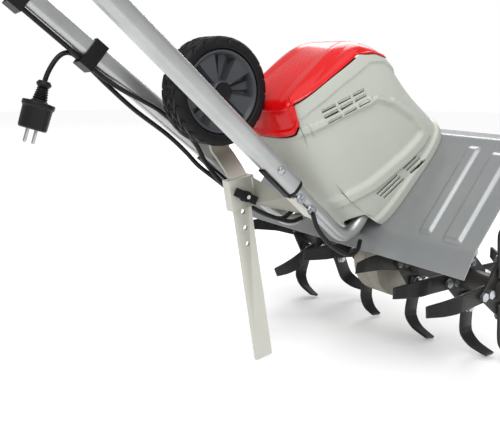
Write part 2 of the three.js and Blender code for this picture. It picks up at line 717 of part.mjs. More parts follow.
// Where a handle tube's underside stands, in the drag bar's own frame.
function tubeUnderside(sign, w, outward) {
  const z = (w - TUBE_W) / Math.cos(SPLAY);
  const point = vec(-outward, 0, z);
  machine.updateMatrixWorld(true);
  const side = sign > 0 ? sideFrames.left : sideFrames.right;
  return drag.worldToLocal(side.localToWorld(point));
}

function armGeometry(sign) {
  const reach = LOWER_TUBE_RADIUS + 1.4;
  const upper = tubeUnderside(sign, 166, reach);
  const lower = tubeUnderside(sign, 122, reach);
  const rootHigh = vec(14, sign * 6.5, SLEEVE_HIGH - 1);
  const rootLow = vec(14, sign * 6.5, SLEEVE_LOW + 1);
  const thick = (point, y) => [-1.5, 1.5].map((half) => point.clone().setY(point.y + y + sign * half));
  const inner = -sign * 9;
  const [a0, a1] = thick(rootHigh, 0);
  const [b0, b1] = thick(rootLow, 0);
  const [c0, c1] = thick(lower, inner);
  const [d0, d1] = thick(upper, inner);
  return skin([[a0, a1, b1, b0], [d0, d1, c1, c0]]);
}

function tabGeometry(sign) {
  const corners = (outward) => [[170, -12], [170, 9], [118, 9], [118, -12]].map(([w, y]) => {
    const z = (w - TUBE_W) / Math.cos(SPLAY);
    const side = sign > 0 ? sideFrames.left : sideFrames.right;
    return drag.worldToLocal(side.localToWorld(vec(-outward, sign * y, z)));
  });
  const near = LOWER_TUBE_RADIUS + GAP + 0.4;
  return skin([corners(near), corners(near + 3)]);
}

function buildDragBar() {
  place(drag, 'drag_bar', barGeometry(), FINISHES.greyPaint);

  machine.updateMatrixWorld(true);
  const sleeve = block(-24, 19, -8.5, 8.5, SLEEVE_LOW, SLEEVE_HIGH);
  const slot = block(-18.6, 12.6, -BAR_THICKNESS / 2 - 0.5, BAR_THICKNESS / 2 + 0.5, 200, 330);
  const clampHole = rodY(3.6, -20, 20, 12).translate(BAR_X, 0, CLAMP_Z);
  const parts = SIDES.flatMap(([, sign]) => [armGeometry(sign), tabGeometry(sign)]);
  place(drag, 'sleeve_bracket', cut(join(sleeve, ...parts), slot, clampHole), FINISHES.greyPaint);

  const shank = rodY(3.2, -23, -BAR_THICKNESS / 2 - 0.5, 12);
  place(drag, 'clamp_bolt', shank.translate(BAR_X, 0, CLAMP_Z), FINISHES.zinc);

  const hub = rodY(8, -19.5, -9.2, 16);
  const wings = block(-19, 19, -18.5, -12.5, -6, 6);
  const bore = rodY(3.5, -30, 0, 12);
  const nut = cut(join(hub, wings), bore).rotateY(35 * DEG).translate(BAR_X, 0, CLAMP_Z);
  place(drag, 'wing_nut', nut, FINISHES.blackPlastic);
}

// ---- Transport wheel ----

function buildWheel() {
  const wheel = new THREE.Group();
  wheel.position.set(WHEEL_X, 0, WHEEL_Z);
  wheel.rotation.x = Math.PI / 2;
  drag.add(wheel);

  const tyre = [
    [RIM_RADIUS + GAP, -17], [RIM_RADIUS + 5, -TYRE_HALF_WIDTH], [TYRE_RADIUS - 4, -TYRE_HALF_WIDTH],
    [TYRE_RADIUS, -TYRE_HALF_WIDTH + 6], [TYRE_RADIUS, TYRE_HALF_WIDTH - 6],
    [TYRE_RADIUS - 4, TYRE_HALF_WIDTH], [RIM_RADIUS + 5, TYRE_HALF_WIDTH], [RIM_RADIUS + GAP, 17],
    [RIM_RADIUS + GAP, -17],
  ];
  place(wheel, 'wheel_tyre', turned(tyre, 32), FINISHES.rubber);

  const rim = [
    [6.6, -20], [14, -20], [15, -6], [50, -4], [52, -18], [RIM_RADIUS, -18], [RIM_RADIUS, 18],
    [52, 18], [50, 4], [15, 6], [14, 20], [6.6, 20], [6.6, -20],
  ];
  place(wheel, 'wheel_rim', turned(rim, 24), FINISHES.greyPlastic);

  const axle = turned([[0, -42], [6, -42], [6, 22], [0, 22]], 16);
  place(wheel, 'wheel_axle', axle, FINISHES.zinc);
  const capProfile = [[6.3, 20.4], [12.5, 20.4], [12, 24.5], [0, 26], [0, 22.4], [6.3, 22.4], [6.3, 20.4]];
  const cap = turned(capProfile, 20);
  place(wheel, 'hub_cap', cap, FINISHES.blackPlastic);
}

// ---- Leads ----

function buildLeads() {
  const left = sideFrames.left;
  const motorLead = spline([
    [-18.2, -4.2, 562], [-18.2, -4.2, 430], [-18.6, -6, 396], [-17, -15, 366], [-11, -21, 334],
    [-6, -23, 300], [-8, -24, 240], [-22, -24, 200], [-30, -26, 150],
    [-27, -30, 90], [-10, -35, 34], [10, -34.6, 14],
  ]);
  place(left, 'motor_lead', sweep(circle(CABLE_RADIUS), motorLead, 32, 4), FINISHES.rubber);

  const supplyLead = spline([
    [-18.2, 4.2, 430], [-18.2, 4.2, 412], [-21, 3, 380], [-23, 2, 330],
    [-20, 1, 270], [-22, 0, 230], [-26, -2, 200],
    [-27, -12, 160], [-28, -18, 120], [-24, -22, 76], [-10, -25, 40], [14, -25.4, 30],
  ]);
  place(left, 'supply_lead', sweep(circle(CABLE_RADIUS), supplyLead, 26, 4), FINISHES.rubber);

  const handleLead = spline([
    [-23, 21, 600], [-22.6, 22.4, 608], [-20, 28, 645],
    [-17.6, 31, 700], [-17.6, 31, 820], [-17.6, 31, 938.5],
  ]);
  place(left, 'handle_lead', sweep(circle(CABLE_RADIUS), handleLead, 18, 4), FINISHES.rubber);

  const foldLoop = spline([
    [-18.2, -4.2, 562.8], [-18.3, -4, 567], [-21, 4, 577],
    [-23.4, 15, 588], [-23.3, 20.2, 595], [-23, 21, 599.2],
  ]);
  place(left, 'lead_loop', sweep(circle(CABLE_RADIUS), foldLoop, 10, 4), FINISHES.rubber);
}

// The supply cord leaves the lower clip, arcs over and hangs down to its plug.
const CORD_ROUTE = [
  [-241.1, 102.8, 454.6], [-244.5, 102.9, 457.4], [-249, 103.2, 459.9],
  [-255, 103.6, 460.9], [-261, 103.9, 459.4],
  [-266.5, 104.1, 455.9], [-271.5, 104.3, 450.9], [-276.2, 104.4, 444.9], [-280.5, 104.5, 438.3],
  [-284.3, 104.6, 431.2], [-287.2, 104.6, 424.3],
];
const PLUG_TOP = [-287.4, 104.6, 423.6];
const PLUG_LEAN = 18.7 * DEG;

function buildCord() {
  place(machine, 'supply_cord', sweep(circle(CABLE_RADIUS), spline(CORD_ROUTE), 12, 4), FINISHES.rubber);

  const body = turned([
    [0, 0], [8, 0], [10.3, 4], [8.5, 8], [6.6, 9], [9, 27], [22, 29], [22, 35], [20.2, 37],
    [19.4, 65], [18, 66], [0, 66],
  ], 18);
  const pins = [-9.5, 9.5].map((offset) => rod(2.4, 60, 85, 12).translate(offset, 0, 0));
  const plug = join(body, ...pins).rotateZ(-35 * DEG).rotateX(Math.PI).rotateY(PLUG_LEAN);
  place(machine, 'supply_plug', plug.translate(...PLUG_TOP), FINISHES.blackPlastic);
}

buildShield();
buildMotor();
buildGearCase();
buildRotor();
buildHood();
buildTubes();
buildClips();
buildUpperHandle();
buildCrossbar();
buildFold();
buildSwitch();
buildDragBar();
buildWheel();
buildLeads();
buildCord();

export default machine;
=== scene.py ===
"""Looks of an electric garden tiller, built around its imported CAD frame.

Lengths are millimetres in a local Place, which turns them into metres in the frame. The camera and
the lamps stand at places in metres.
"""

import json
import logging
import math
from dataclasses import dataclass
from enum import Enum

import bmesh
import bpy
import numpy as np
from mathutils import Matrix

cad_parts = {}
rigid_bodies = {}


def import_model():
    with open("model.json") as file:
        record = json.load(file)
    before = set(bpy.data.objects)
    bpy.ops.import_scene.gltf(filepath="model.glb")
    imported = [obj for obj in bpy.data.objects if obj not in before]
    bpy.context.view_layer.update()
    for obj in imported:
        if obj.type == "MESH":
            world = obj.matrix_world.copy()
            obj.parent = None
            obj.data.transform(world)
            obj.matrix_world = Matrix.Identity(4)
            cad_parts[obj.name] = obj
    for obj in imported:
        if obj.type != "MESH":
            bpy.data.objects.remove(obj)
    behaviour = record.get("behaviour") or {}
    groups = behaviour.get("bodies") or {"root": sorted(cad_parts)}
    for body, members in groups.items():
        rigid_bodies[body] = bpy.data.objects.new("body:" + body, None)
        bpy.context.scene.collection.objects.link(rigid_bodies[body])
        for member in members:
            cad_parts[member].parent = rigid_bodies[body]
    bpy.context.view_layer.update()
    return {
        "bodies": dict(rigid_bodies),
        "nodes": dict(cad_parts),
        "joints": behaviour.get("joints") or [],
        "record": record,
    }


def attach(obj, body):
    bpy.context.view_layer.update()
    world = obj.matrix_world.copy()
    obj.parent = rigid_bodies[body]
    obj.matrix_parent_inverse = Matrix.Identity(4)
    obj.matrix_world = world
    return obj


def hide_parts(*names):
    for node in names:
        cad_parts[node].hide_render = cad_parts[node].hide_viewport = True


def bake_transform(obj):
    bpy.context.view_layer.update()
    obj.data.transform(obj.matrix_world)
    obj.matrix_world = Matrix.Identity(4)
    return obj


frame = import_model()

MM = 0.001
LOG = logging.getLogger("tiller")

DECK_AXLE = (14, 0, -139)
TUBE_FOOT = (-47, 64, 33)
TUBE_SPLAY = math.radians(4.56)
WHEEL_CENTRE = (-19, 0, 415)


# ---- Places -------------------------------------------------------------------------------------

@dataclass(frozen=True)
class Place:
    """A local frame: its origin in metres and its three axes as rows."""

    origin: np.ndarray
    axes: np.ndarray

    def row(self, points: np.ndarray) -> np.ndarray:
        """Takes local millimetres to frame metres."""
        return self.origin + np.asarray(points, float) * MM @ self.axes

    def turned(self, turn: np.ndarray, at: tuple = (0, 0, 0)) -> "Place":
        """A place at a local point whose axes are turned by a matrix of row vectors."""
        return Place(self.row(np.array(at, float)), turn @ self.axes)


def about(axis: int, angle: float) -> np.ndarray:
    """The turn by an angle about a local axis, as row vectors.

    Args:
        axis: 0, 1 or 2 for X, Y or Z.
        angle: in radians, by the right-hand rule.

    Returns:
        The 3 by 3 matrix whose rows are the turned axes.
    """
    turn = np.eye(3)
    second, third = (axis + 1) % 3, (axis + 2) % 3
    turn[second, second] = turn[third, third] = math.cos(angle)
    turn[second, third] = math.sin(angle)
    turn[third, second] = -math.sin(angle)
    return turn


def joint(name: str) -> dict:
    """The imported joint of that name."""
    return next(j for j in frame["joints"] if j["name"] == name)


def place_at(axes: np.ndarray, local: tuple, known: list) -> Place:
    """The place with these axes in which a local point stands at a known frame point."""
    return Place(np.array(known, float) - np.array(local, float) * MM @ axes, axes)


def upright_axes(up: list) -> np.ndarray:
    """Axes whose Z is a direction in the XZ plane, and whose Y is the frame's Y."""
    return np.array([[up[2], 0, -up[0]], [0, 1, 0], [up[0], 0, up[2]]])


DECK = place_at(upright_axes(joint("motor_spin")["axis"]), DECK_AXLE, joint("rotor_spin")["pos_m"])
DRAG = place_at(upright_axes(joint("drag_bar_slide")["axis"]), WHEEL_CENTRE, joint("wheel_spin")["pos_m"])
ROTOR = Place(np.array(joint("rotor_spin")["pos_m"]), np.eye(3))
FRAME = Place(np.zeros(3), np.eye(3))
SIDES = {"left": 1, "right": -1}
TUBES = {
    name: DECK.turned(about(0, -sign * TUBE_SPLAY), (TUBE_FOOT[0], sign * TUBE_FOOT[1], TUBE_FOOT[2]))
    for name, sign in SIDES.items()
}


# ---- Mesh making --------------------------------------------------------------------------------

class Ends(Enum):
    """What closes the first and last row of a surface."""

    OPEN = "open"
    CAPPED = "capped"
    JOINED = "joined"


def smooth_step(x: np.ndarray) -> np.ndarray:
    """Rises from 0 to 1 with level ends: 3t^2 - 2t^3, where t is x held between 0 and 1."""
    t = np.clip(x, 0, 1)
    return t * t * (3 - 2 * t)


def finish_mesh(mesh: bpy.types.Mesh, sharp: float) -> None:
    """Merges doubles, turns faces outwards and marks sharp edges.

    Args:
        mesh: the mesh to finish.
        sharp: edges that turn by more than this, in degrees, are sharp.
    """
    work = bmesh.new()
    work.from_mesh(mesh)
    bmesh.ops.remove_doubles(work, verts=work.verts, dist=1e-6)
    bmesh.ops.recalc_face_normals(work, faces=work.faces)
    work.to_mesh(mesh)
    work.free()
    mesh.shade_smooth()
    mesh.set_sharp_from_angle(angle=math.radians(sharp))


def piece_from(name: str, vertices: np.ndarray, faces: list, sharp: float) -> bpy.types.Object:
    """A new piece from frame-metre vertices and face corner lists."""
    mesh = bpy.data.meshes.new(name)
    mesh.from_pydata(vertices.tolist(), [], faces)
    finish_mesh(mesh, sharp)
    made = bpy.data.objects.new(name, mesh)
    bpy.context.scene.collection.objects.link(made)
    return made


def surface(name: str, points: np.ndarray, around: bool = True, ends: Ends = Ends.CAPPED,
            sharp: float = 35) -> bpy.types.Object:
    """A piece over a grid of points: four neighbours in the grid make each face.

    Args:
        name: the piece's name.
        points: rows by columns by 3, in frame metres.
        around: whether the last column joins the first.
        ends: what closes the first and last rows.
        sharp: the sharp edge angle in degrees.

    Returns:
        The new piece.
    """
    rows, columns = points.shape[:2]
    last_row = rows if ends is Ends.JOINED else rows - 1
    last_column = columns if around else columns - 1
    i, j = np.meshgrid(np.arange(last_row), np.arange(last_column), indexing="ij")
    below, beside = (i + 1) % rows, (j + 1) % columns
    corners = [i * columns + j, i * columns + beside, below * columns + beside, below * columns + j]
    quads = np.stack(corners, -1)
    faces = quads.reshape(-1, 4).tolist()
    if ends is Ends.CAPPED:
        faces.append(list(range(columns))[::-1])
        faces.append([(rows - 1) * columns + k for k in range(columns)])
    return piece_from(name, points.reshape(-1, 3), faces, sharp)


def curve_through(points: np.ndarray, steps: int) -> np.ndarray:
    """A smooth line through points: a Catmull-Rom curve, cubic between each pair of neighbours.

    Args:
        points: the points to pass through.
        steps: how many stretches each pair is divided into.

    Returns:
        The denser points.
    """
    p = np.asarray(points, float)
    padded = np.vstack([2 * p[0] - p[1], p, 2 * p[-1] - p[-2]])
    t = np.linspace(0, 1, steps, endpoint=False)[None, :, None]
    a, b, c, d = (padded[k:len(padded) - 3 + k, None, :] for k in range(4))
    start = 2 * b + (c - a) * t
    curve = 0.5 * (start + (2 * a - 5 * b + 4 * c - d) * t ** 2 + (3 * b - a - 3 * c + d) * t ** 3)
    return np.vstack([curve.reshape(-1, 3), p[-1:]])


def carried(path: np.ndarray, section: np.ndarray, across: tuple = (0, 1, 0)) -> np.ndarray:
    """A section carried along a path: its first coordinate runs along across, its second along
    the cross product of the path's direction with it.

    Args:
        path: points in local millimetres.
        section: points by 2, or path points by points by 2 where it changes.
        across: a direction that the path never runs along.

    Returns:
        Rows of section points in local millimetres.
    """
    along = np.gradient(path, axis=0)
    along /= np.linalg.norm(along, axis=1)[:, None]
    side = np.asarray(across, float) - (along @ np.asarray(across, float))[:, None] * along
    side /= np.linalg.norm(side, axis=1)[:, None]
    over = np.cross(along, side)
    shapes = np.broadcast_to(section, (len(path), *np.shape(section)[-2:]))
    return path[:, None] + shapes[..., :1] * side[:, None] + shapes[..., 1:] * over[:, None]


def circle(radius: float, count: int = 32) -> np.ndarray:
    """Points on a circle: radius times the cosine and sine of equal angles."""
    angle = np.arange(count) * 2 * np.pi / count
    return radius * np.stack([np.cos(angle), np.sin(angle)], -1)


def rounded(width: float, height: float, radius: float, count: int = 8) -> np.ndarray:
    """A rectangle with round corners, as four arcs of a circle.

    Args:
        width: along the first coordinate.
        height: along the second.
        radius: of the corners.
        count: points on each corner.

    Returns:
        The outline's points.
    """
    quarter = np.linspace(0, np.pi / 2, count)
    corners = [(1, 1), (-1, 1), (-1, -1), (1, -1)]
    arcs = [
        np.stack([
            sx * (width / 2 - radius) + radius * np.cos(quarter + k * np.pi / 2),
            sy * (height / 2 - radius) + radius * np.sin(quarter + k * np.pi / 2),
        ], -1)
        for k, (sx, sy) in enumerate(corners)
    ]
    return np.vstack(arcs)


def turned_rows(profile: list, count: int = 48) -> np.ndarray:
    """A profile of (radius, height) pairs turned about local Z: x = r cos a, y = r sin a."""
    r, z = np.array(profile, float).T
    angle = np.arange(count) * 2 * np.pi / count
    shape = (r[:, None] * np.cos(angle), r[:, None] * np.sin(angle), np.repeat(z[:, None], count, 1))
    return np.stack(shape, -1)


def extruded(outline: np.ndarray, low: float, high: float) -> np.ndarray:
    """An outline in local X and Y pulled along Z: one row at each height."""
    flat = np.asarray(outline, float)
    return np.stack([np.column_stack([flat, np.full(len(flat), z)]) for z in (low, high)])


def joined(name: str, parts: list) -> bpy.types.Object:
    """Several pieces made one, each keeping its own closed surface.

    Args:
        name: the new piece's name.
        parts: the pieces, which are removed once they are copied.

    Returns:
        The new piece.
    """
    work = bmesh.new()
    for part in parts:
        work.from_mesh(part.data)
        bpy.data.objects.remove(part)
    mesh = bpy.data.meshes.new(name)
    work.to_mesh(mesh)
    work.free()
    made = bpy.data.objects.new(name, mesh)
    bpy.context.scene.collection.objects.link(made)
    return made


def bevelled(piece: bpy.types.Object, width: float, angle: float = 40) -> bpy.types.Object:
    """Rounds a piece's edges by a width in millimetres where faces turn by more than an angle."""
    rounding = piece.modifiers.new("rounding", "BEVEL")
    rounding.width = width * MM
    rounding.segments = 2
    rounding.limit_method = "ANGLE"
    rounding.angle_limit = math.radians(angle)
    rounding.harden_normals = True
    return piece


def walled(piece: bpy.types.Object, thickness: float) -> bpy.types.Object:
    """Gives an open sheet a wall of this many millimetres, inwards."""
    wall = piece.modifiers.new("wall", "SOLIDIFY")
    wall.thickness = thickness * MM
    wall.offset = -1
    return piece


# ---- Finishes -----------------------------------------------------------------------------------

def linear(colour: str) -> tuple:
    """An sRGB hex value as linear red, green, blue and alpha."""
    parts = [int(colour[k:k + 2], 16) / 255 for k in (1, 3, 5)]
    return (*[c / 12.92 if c <= 0.04045 else ((c + 0.055) / 1.055) ** 2.4 for c in parts], 1.0)


def add_node(tree: bpy.types.NodeTree, kind: str, inputs: dict, **settings: object) -> bpy.types.Node:
    """Adds a node with its settings, values and links.

    Args:
        tree: the material's node tree.
        kind: the node's type name.
        inputs: socket names with the value, or the socket that feeds it.
        settings: attributes of the node.

    Returns:
        The new node.
    """
    node = tree.nodes.new(kind)
    for name, value in settings.items():
        setattr(node, name, value)
    for name, value in inputs.items():
        if isinstance(value, bpy.types.NodeSocket):
            tree.links.new(value, node.inputs[name])
        else:
            node.inputs[name].default_value = value
    return node


@dataclass(frozen=True)
class Finish:
    """A surface: two shades that drift into each other, gloss that varies, and a fine relief."""

    name: str
    shade: str
    second: str
    roughness: float
    spread: float = 0.06
    metallic: float = 0.0
    drift: float = 60.0
    grit: float = 0.8
    relief: float = 0.15
    stretch: tuple = (1.0, 1.0, 1.0)
    tilt: float = 0.0
    coat: float = 0.0
    shine: float = 0.5
    # Colour of a painted highlight on sharp edges; empty for none.
    edge_highlight: str = ""

    def material(self) -> bpy.types.Material:
        """Builds the finish's node material.

        A broad noise, drift millimetres across, mixes the two shades. A fine noise, grit millimetres
        across, sets the gloss and the relief. Where an edge colour is given, sharp edges take it as a painted
        highlight.

        Returns:
            The new material.
        """
        made = bpy.data.materials.new(self.name)
        made.use_nodes = True
        tree = made.node_tree
        tree.nodes.clear()
        place = add_node(tree, "ShaderNodeTexCoord", {}).outputs["Object"]
        aligned = add_node(tree, "ShaderNodeMapping", {
            "Vector": place, "Rotation": (0, self.tilt, 0),
        }).outputs["Vector"]
        stretched = add_node(tree, "ShaderNodeMapping", {
            "Vector": aligned, "Scale": self.stretch,
        }).outputs["Vector"]
        broad = add_node(tree, "ShaderNodeTexNoise", {
            "Vector": place, "Scale": 1000 / self.drift, "Detail": 4.0, "Roughness": 0.55,
        }).outputs["Fac"]
        fine = add_node(tree, "ShaderNodeTexNoise", {
            "Vector": stretched, "Scale": 1000 / self.grit, "Detail": 3.0, "Roughness": 0.6,
        }).outputs["Fac"]
        blotch = add_node(tree, "ShaderNodeMapRange", {
            "Value": broad, "From Min": 0.35, "From Max": 0.65,
        }).outputs["Result"]
        colour = add_node(tree, "ShaderNodeMix", {
            "Factor": blotch, "A": linear(self.shade), "B": linear(self.second),
        }, data_type="RGBA").outputs["Result"]
        # Painted highlight: convex sharp edges, found from pointiness, take the edge colour.
        if self.edge_highlight:
            edge = add_node(tree, "ShaderNodeNewGeometry", {}).outputs["Pointiness"]
            edge_highlight_mask = add_node(tree, "ShaderNodeMapRange", {
                "Value": edge, "From Min": 0.515, "From Max": 0.56, "To Max": 0.8,
            }).outputs["Result"]
            colour = add_node(tree, "ShaderNodeMix", {
                "Factor": edge_highlight_mask, "A": colour, "B": linear(self.edge_highlight),
            }, data_type="RGBA").outputs["Result"]
        gloss = add_node(tree, "ShaderNodeMapRange", {
            "Value": fine, "From Min": 0.3, "From Max": 0.7,
            "To Min": self.roughness - self.spread, "To Max": self.roughness + self.spread,
        }).outputs["Result"]
        bump = add_node(tree, "ShaderNodeBump", {
            "Height": fine, "Strength": self.relief, "Distance": 0.25 * self.grit * MM,
        }).outputs["Normal"]
        shader = add_node(tree, "ShaderNodeBsdfPrincipled", {
            "Base Color": colour, "Roughness": gloss, "Metallic": self.metallic,
            "Coat Weight": self.coat, "Coat Roughness": 0.06,
            "Specular IOR Level": self.shine, "Normal": bump,
        })
        add_node(tree, "ShaderNodeOutputMaterial", {"Surface": shader.outputs["BSDF"]})
        return made


TUBE_TILT = math.radians(49.4)
FINISHES = {
    # Powder coat on sheet steel: satin, with the faint orange peel of a baked film.
    "deck": Finish("powder_coated_steel", "#8C8F90", "#959798", 0.33, 0.05, 0.3, 140, 1.6, 0.12, coat=0.15),
    # ABS from a fine-grained mould: soft sheen, one even light grey.
    "hood": Finish("moulded_abs_grey", "#BABDB4", "#B4B7AE", 0.4, 0.05, 0.0, 160, 0.9, 0.08),
    # ABS from a polished mould, lacquered: a mirror-like coat over a deep red.
    "cover": Finish("polished_abs_red", "#E0060C", "#D20509", 0.28, 0.03, 0.0, 160, 1.4, 0.02,
                    coat=0.35, shine=0.2),
    # Drawn aluminium, satin anodised: fine streaks run along the tube.
    "tube": Finish("drawn_aluminium", "#BBBCBC", "#AEAFAF", 0.36, 0.07, 0.8, 90, 1.0, 0.2,
                   (1.0, 1.0, 0.03), TUBE_TILT),
    # Sand-cast alloy, oxidised in air: dull with a coarse grain.
    "casting": Finish("cast_alloy", "#A09C91", "#8D897D", 0.5, 0.1, 0.5, 35, 1.5, 0.45),
    # Black stove enamel on forged steel, with a painted highlight on its sharp edges.
    "tine": Finish("black_enamelled_steel", "#0B0B0C", "#121212", 0.4, 0.1, 0.1, 30, 1.8, 0.3,
                   shine=0.35, edge_highlight="#4A4846"),
    # Bright zinc plating on small fasteners.
    "zinc": Finish("zinc_plated_steel", "#C2C5CA", "#A6A8AA", 0.22, 0.08, 0.95, 12, 0.8, 0.15),
    # Warm grey powder coat on flat bar, with a painted highlight on its sharp edges.
    "bar": Finish("powder_coated_bar", "#9A998E", "#919085", 0.42, 0.06, 0.1, 70, 1.3, 0.15, edge_highlight="#D2D1C9"),
    # Glass-filled nylon: near black, matt with a fine grain.
    "nylon": Finish("glass_filled_nylon", "#0D0D0E", "#141415", 0.48, 0.08, 0.0, 30, 0.9, 0.25, shine=0.25),
    # Polypropylene wheel centre: mid grey with a low sheen.
    "rim": Finish("moulded_polypropylene", "#46494D", "#404347", 0.38, 0.06, 0.0, 60, 0.9, 0.12, shine=0.3),
    # Vulcanised tread rubber: charcoal.
    "tyre": Finish("tread_rubber", "#0C0C0D", "#151516", 0.55, 0.1, 0.0, 40, 1.2, 0.35, shine=0.25),
    # PVC-sheathed lead: black with a soft highlight.
    "lead": Finish("sheathed_lead", "#09090A", "#0E0E0F", 0.4, 0.06, 0.0, 30, 1.0, 0.12, shine=0.3),
    # Moulded rubber plug body: even black, fine grain.
    "plug": Finish("moulded_rubber", "#0B0B0C", "#111112", 0.44, 0.08, 0.0, 25, 0.8, 0.25, shine=0.3),
    # Soft grip foam rubber.
    "grip": Finish("grip_rubber", "#111112", "#18181A", 0.8, 0.06, 0.0, 25, 1.4, 0.6, shine=0.2),
    # Red switch plastic.
    "switch": Finish("moulded_switch_red", "#B9151A", "#AC1217", 0.35, 0.05, 0.0, 40, 0.9, 0.1),
    # Tin bronze of the worm wheel.
    "bronze": Finish("machined_bronze", "#A87B3E", "#946A33", 0.35, 0.08, 0.95, 20, 0.9, 0.2),
}
MATERIALS = {key: finish.material() for key, finish in FINISHES.items()}


class Seat:
    """Where a piece belongs: its body, its slot, its finish and the nodes it stands for."""

    def __init__(self, body: str, slot: str, finish: str) -> None:
        """Keeps the body, the record's slot and the finish's key."""
        self.body, self.slot, self.finish = body, slot, finish

    def dress(self, piece: bpy.types.Object, *nodes: str) -> bpy.types.Object:
        """Paints a piece, mounts it on its body and lets it stand for CAD nodes.

        Args:
            piece: the finished piece.
            nodes: the CAD nodes that it replaces.

        Returns:
            The same piece.
        """
        piece.data.materials.clear()
        piece.data.materials.append(MATERIALS[self.finish])
        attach(piece, self.body)
        if nodes:
            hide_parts(*nodes)
        LOG.info("%s rides on %s", piece.name, self.body)
        return piece


# ---- Deck plate ---------------------------------------------------------------------------------

@dataclass
class DeckPlate:
    """The folded sheet over the rotor, with two raised ribs on each side."""

    width: float = 518
    sheet: float = 2
    rib_height: float = 4.5
    ribs: tuple = ((165, 9, 8, 166), (215, 14, 4, 160))
    seat: Seat = Seat("frame", "deck_paint", "deck")

    def profile(self, count: int) -> np.ndarray:
        """The fold line seen from the side, evenly spaced and rounded at its two bends."""
        corners = np.array([(-39.2, -7.6), (0, 0), (183, 0), (224.4, -49.6)])
        run = np.concatenate([[0], np.cumsum(np.linalg.norm(np.diff(corners, axis=0), axis=1))])
        at = np.linspace(0, run[-1], count)
        line = np.stack([np.interp(at, run, corners[:, k]) for k in (0, 1)], -1)
        weights = np.array([1, 2, 3, 2, 1]) / 9
        inner = np.stack([np.convolve(line[:, k], weights, "valid") for k in (0, 1)], -1)
        return np.vstack([line[:2], inner, line[-2:]])

    def build(self) -> bpy.types.Object:
        """Builds the sheet: the profile swept across, lifted along its normal on each rib.

        Returns:
            The dressed sheet.
        """
        line = self.profile(130)
        y = np.linspace(-self.width / 2, self.width / 2, 210)
        along = np.gradient(line, axis=0)
        along /= np.linalg.norm(along, axis=1)[:, None]
        lift = np.zeros((len(line), len(y)))
        for middle, half, start, end in self.ribs:
            side = smooth_step((half - np.abs(np.abs(y) - middle)) / 4 + 0.5)
            length = smooth_step((line[:, 0] - start) / 7) * smooth_step((end - line[:, 0]) / 7)
            lift = np.maximum(lift, self.rib_height * length[:, None] * side[None])
        u = line[:, :1] - along[:, 1:] * lift
        w = line[:, 1:] + along[:, :1] * lift
        points = np.stack([u, np.broadcast_to(y, u.shape), w], -1)
        plate = surface("deck_plate", DECK.row(points), around=False, ends=Ends.OPEN, sharp=60)
        upward = np.mean([f.normal for f in plate.data.polygons], axis=0) @ DECK.axes[2]
        if upward < 0:
            plate.data.flip_normals()
        walled(plate, self.sheet)
        return self.seat.dress(bevelled(plate, 0.6, 60), "shield")


# ---- Motor hood and its red cover ---------------------------------------------------------------

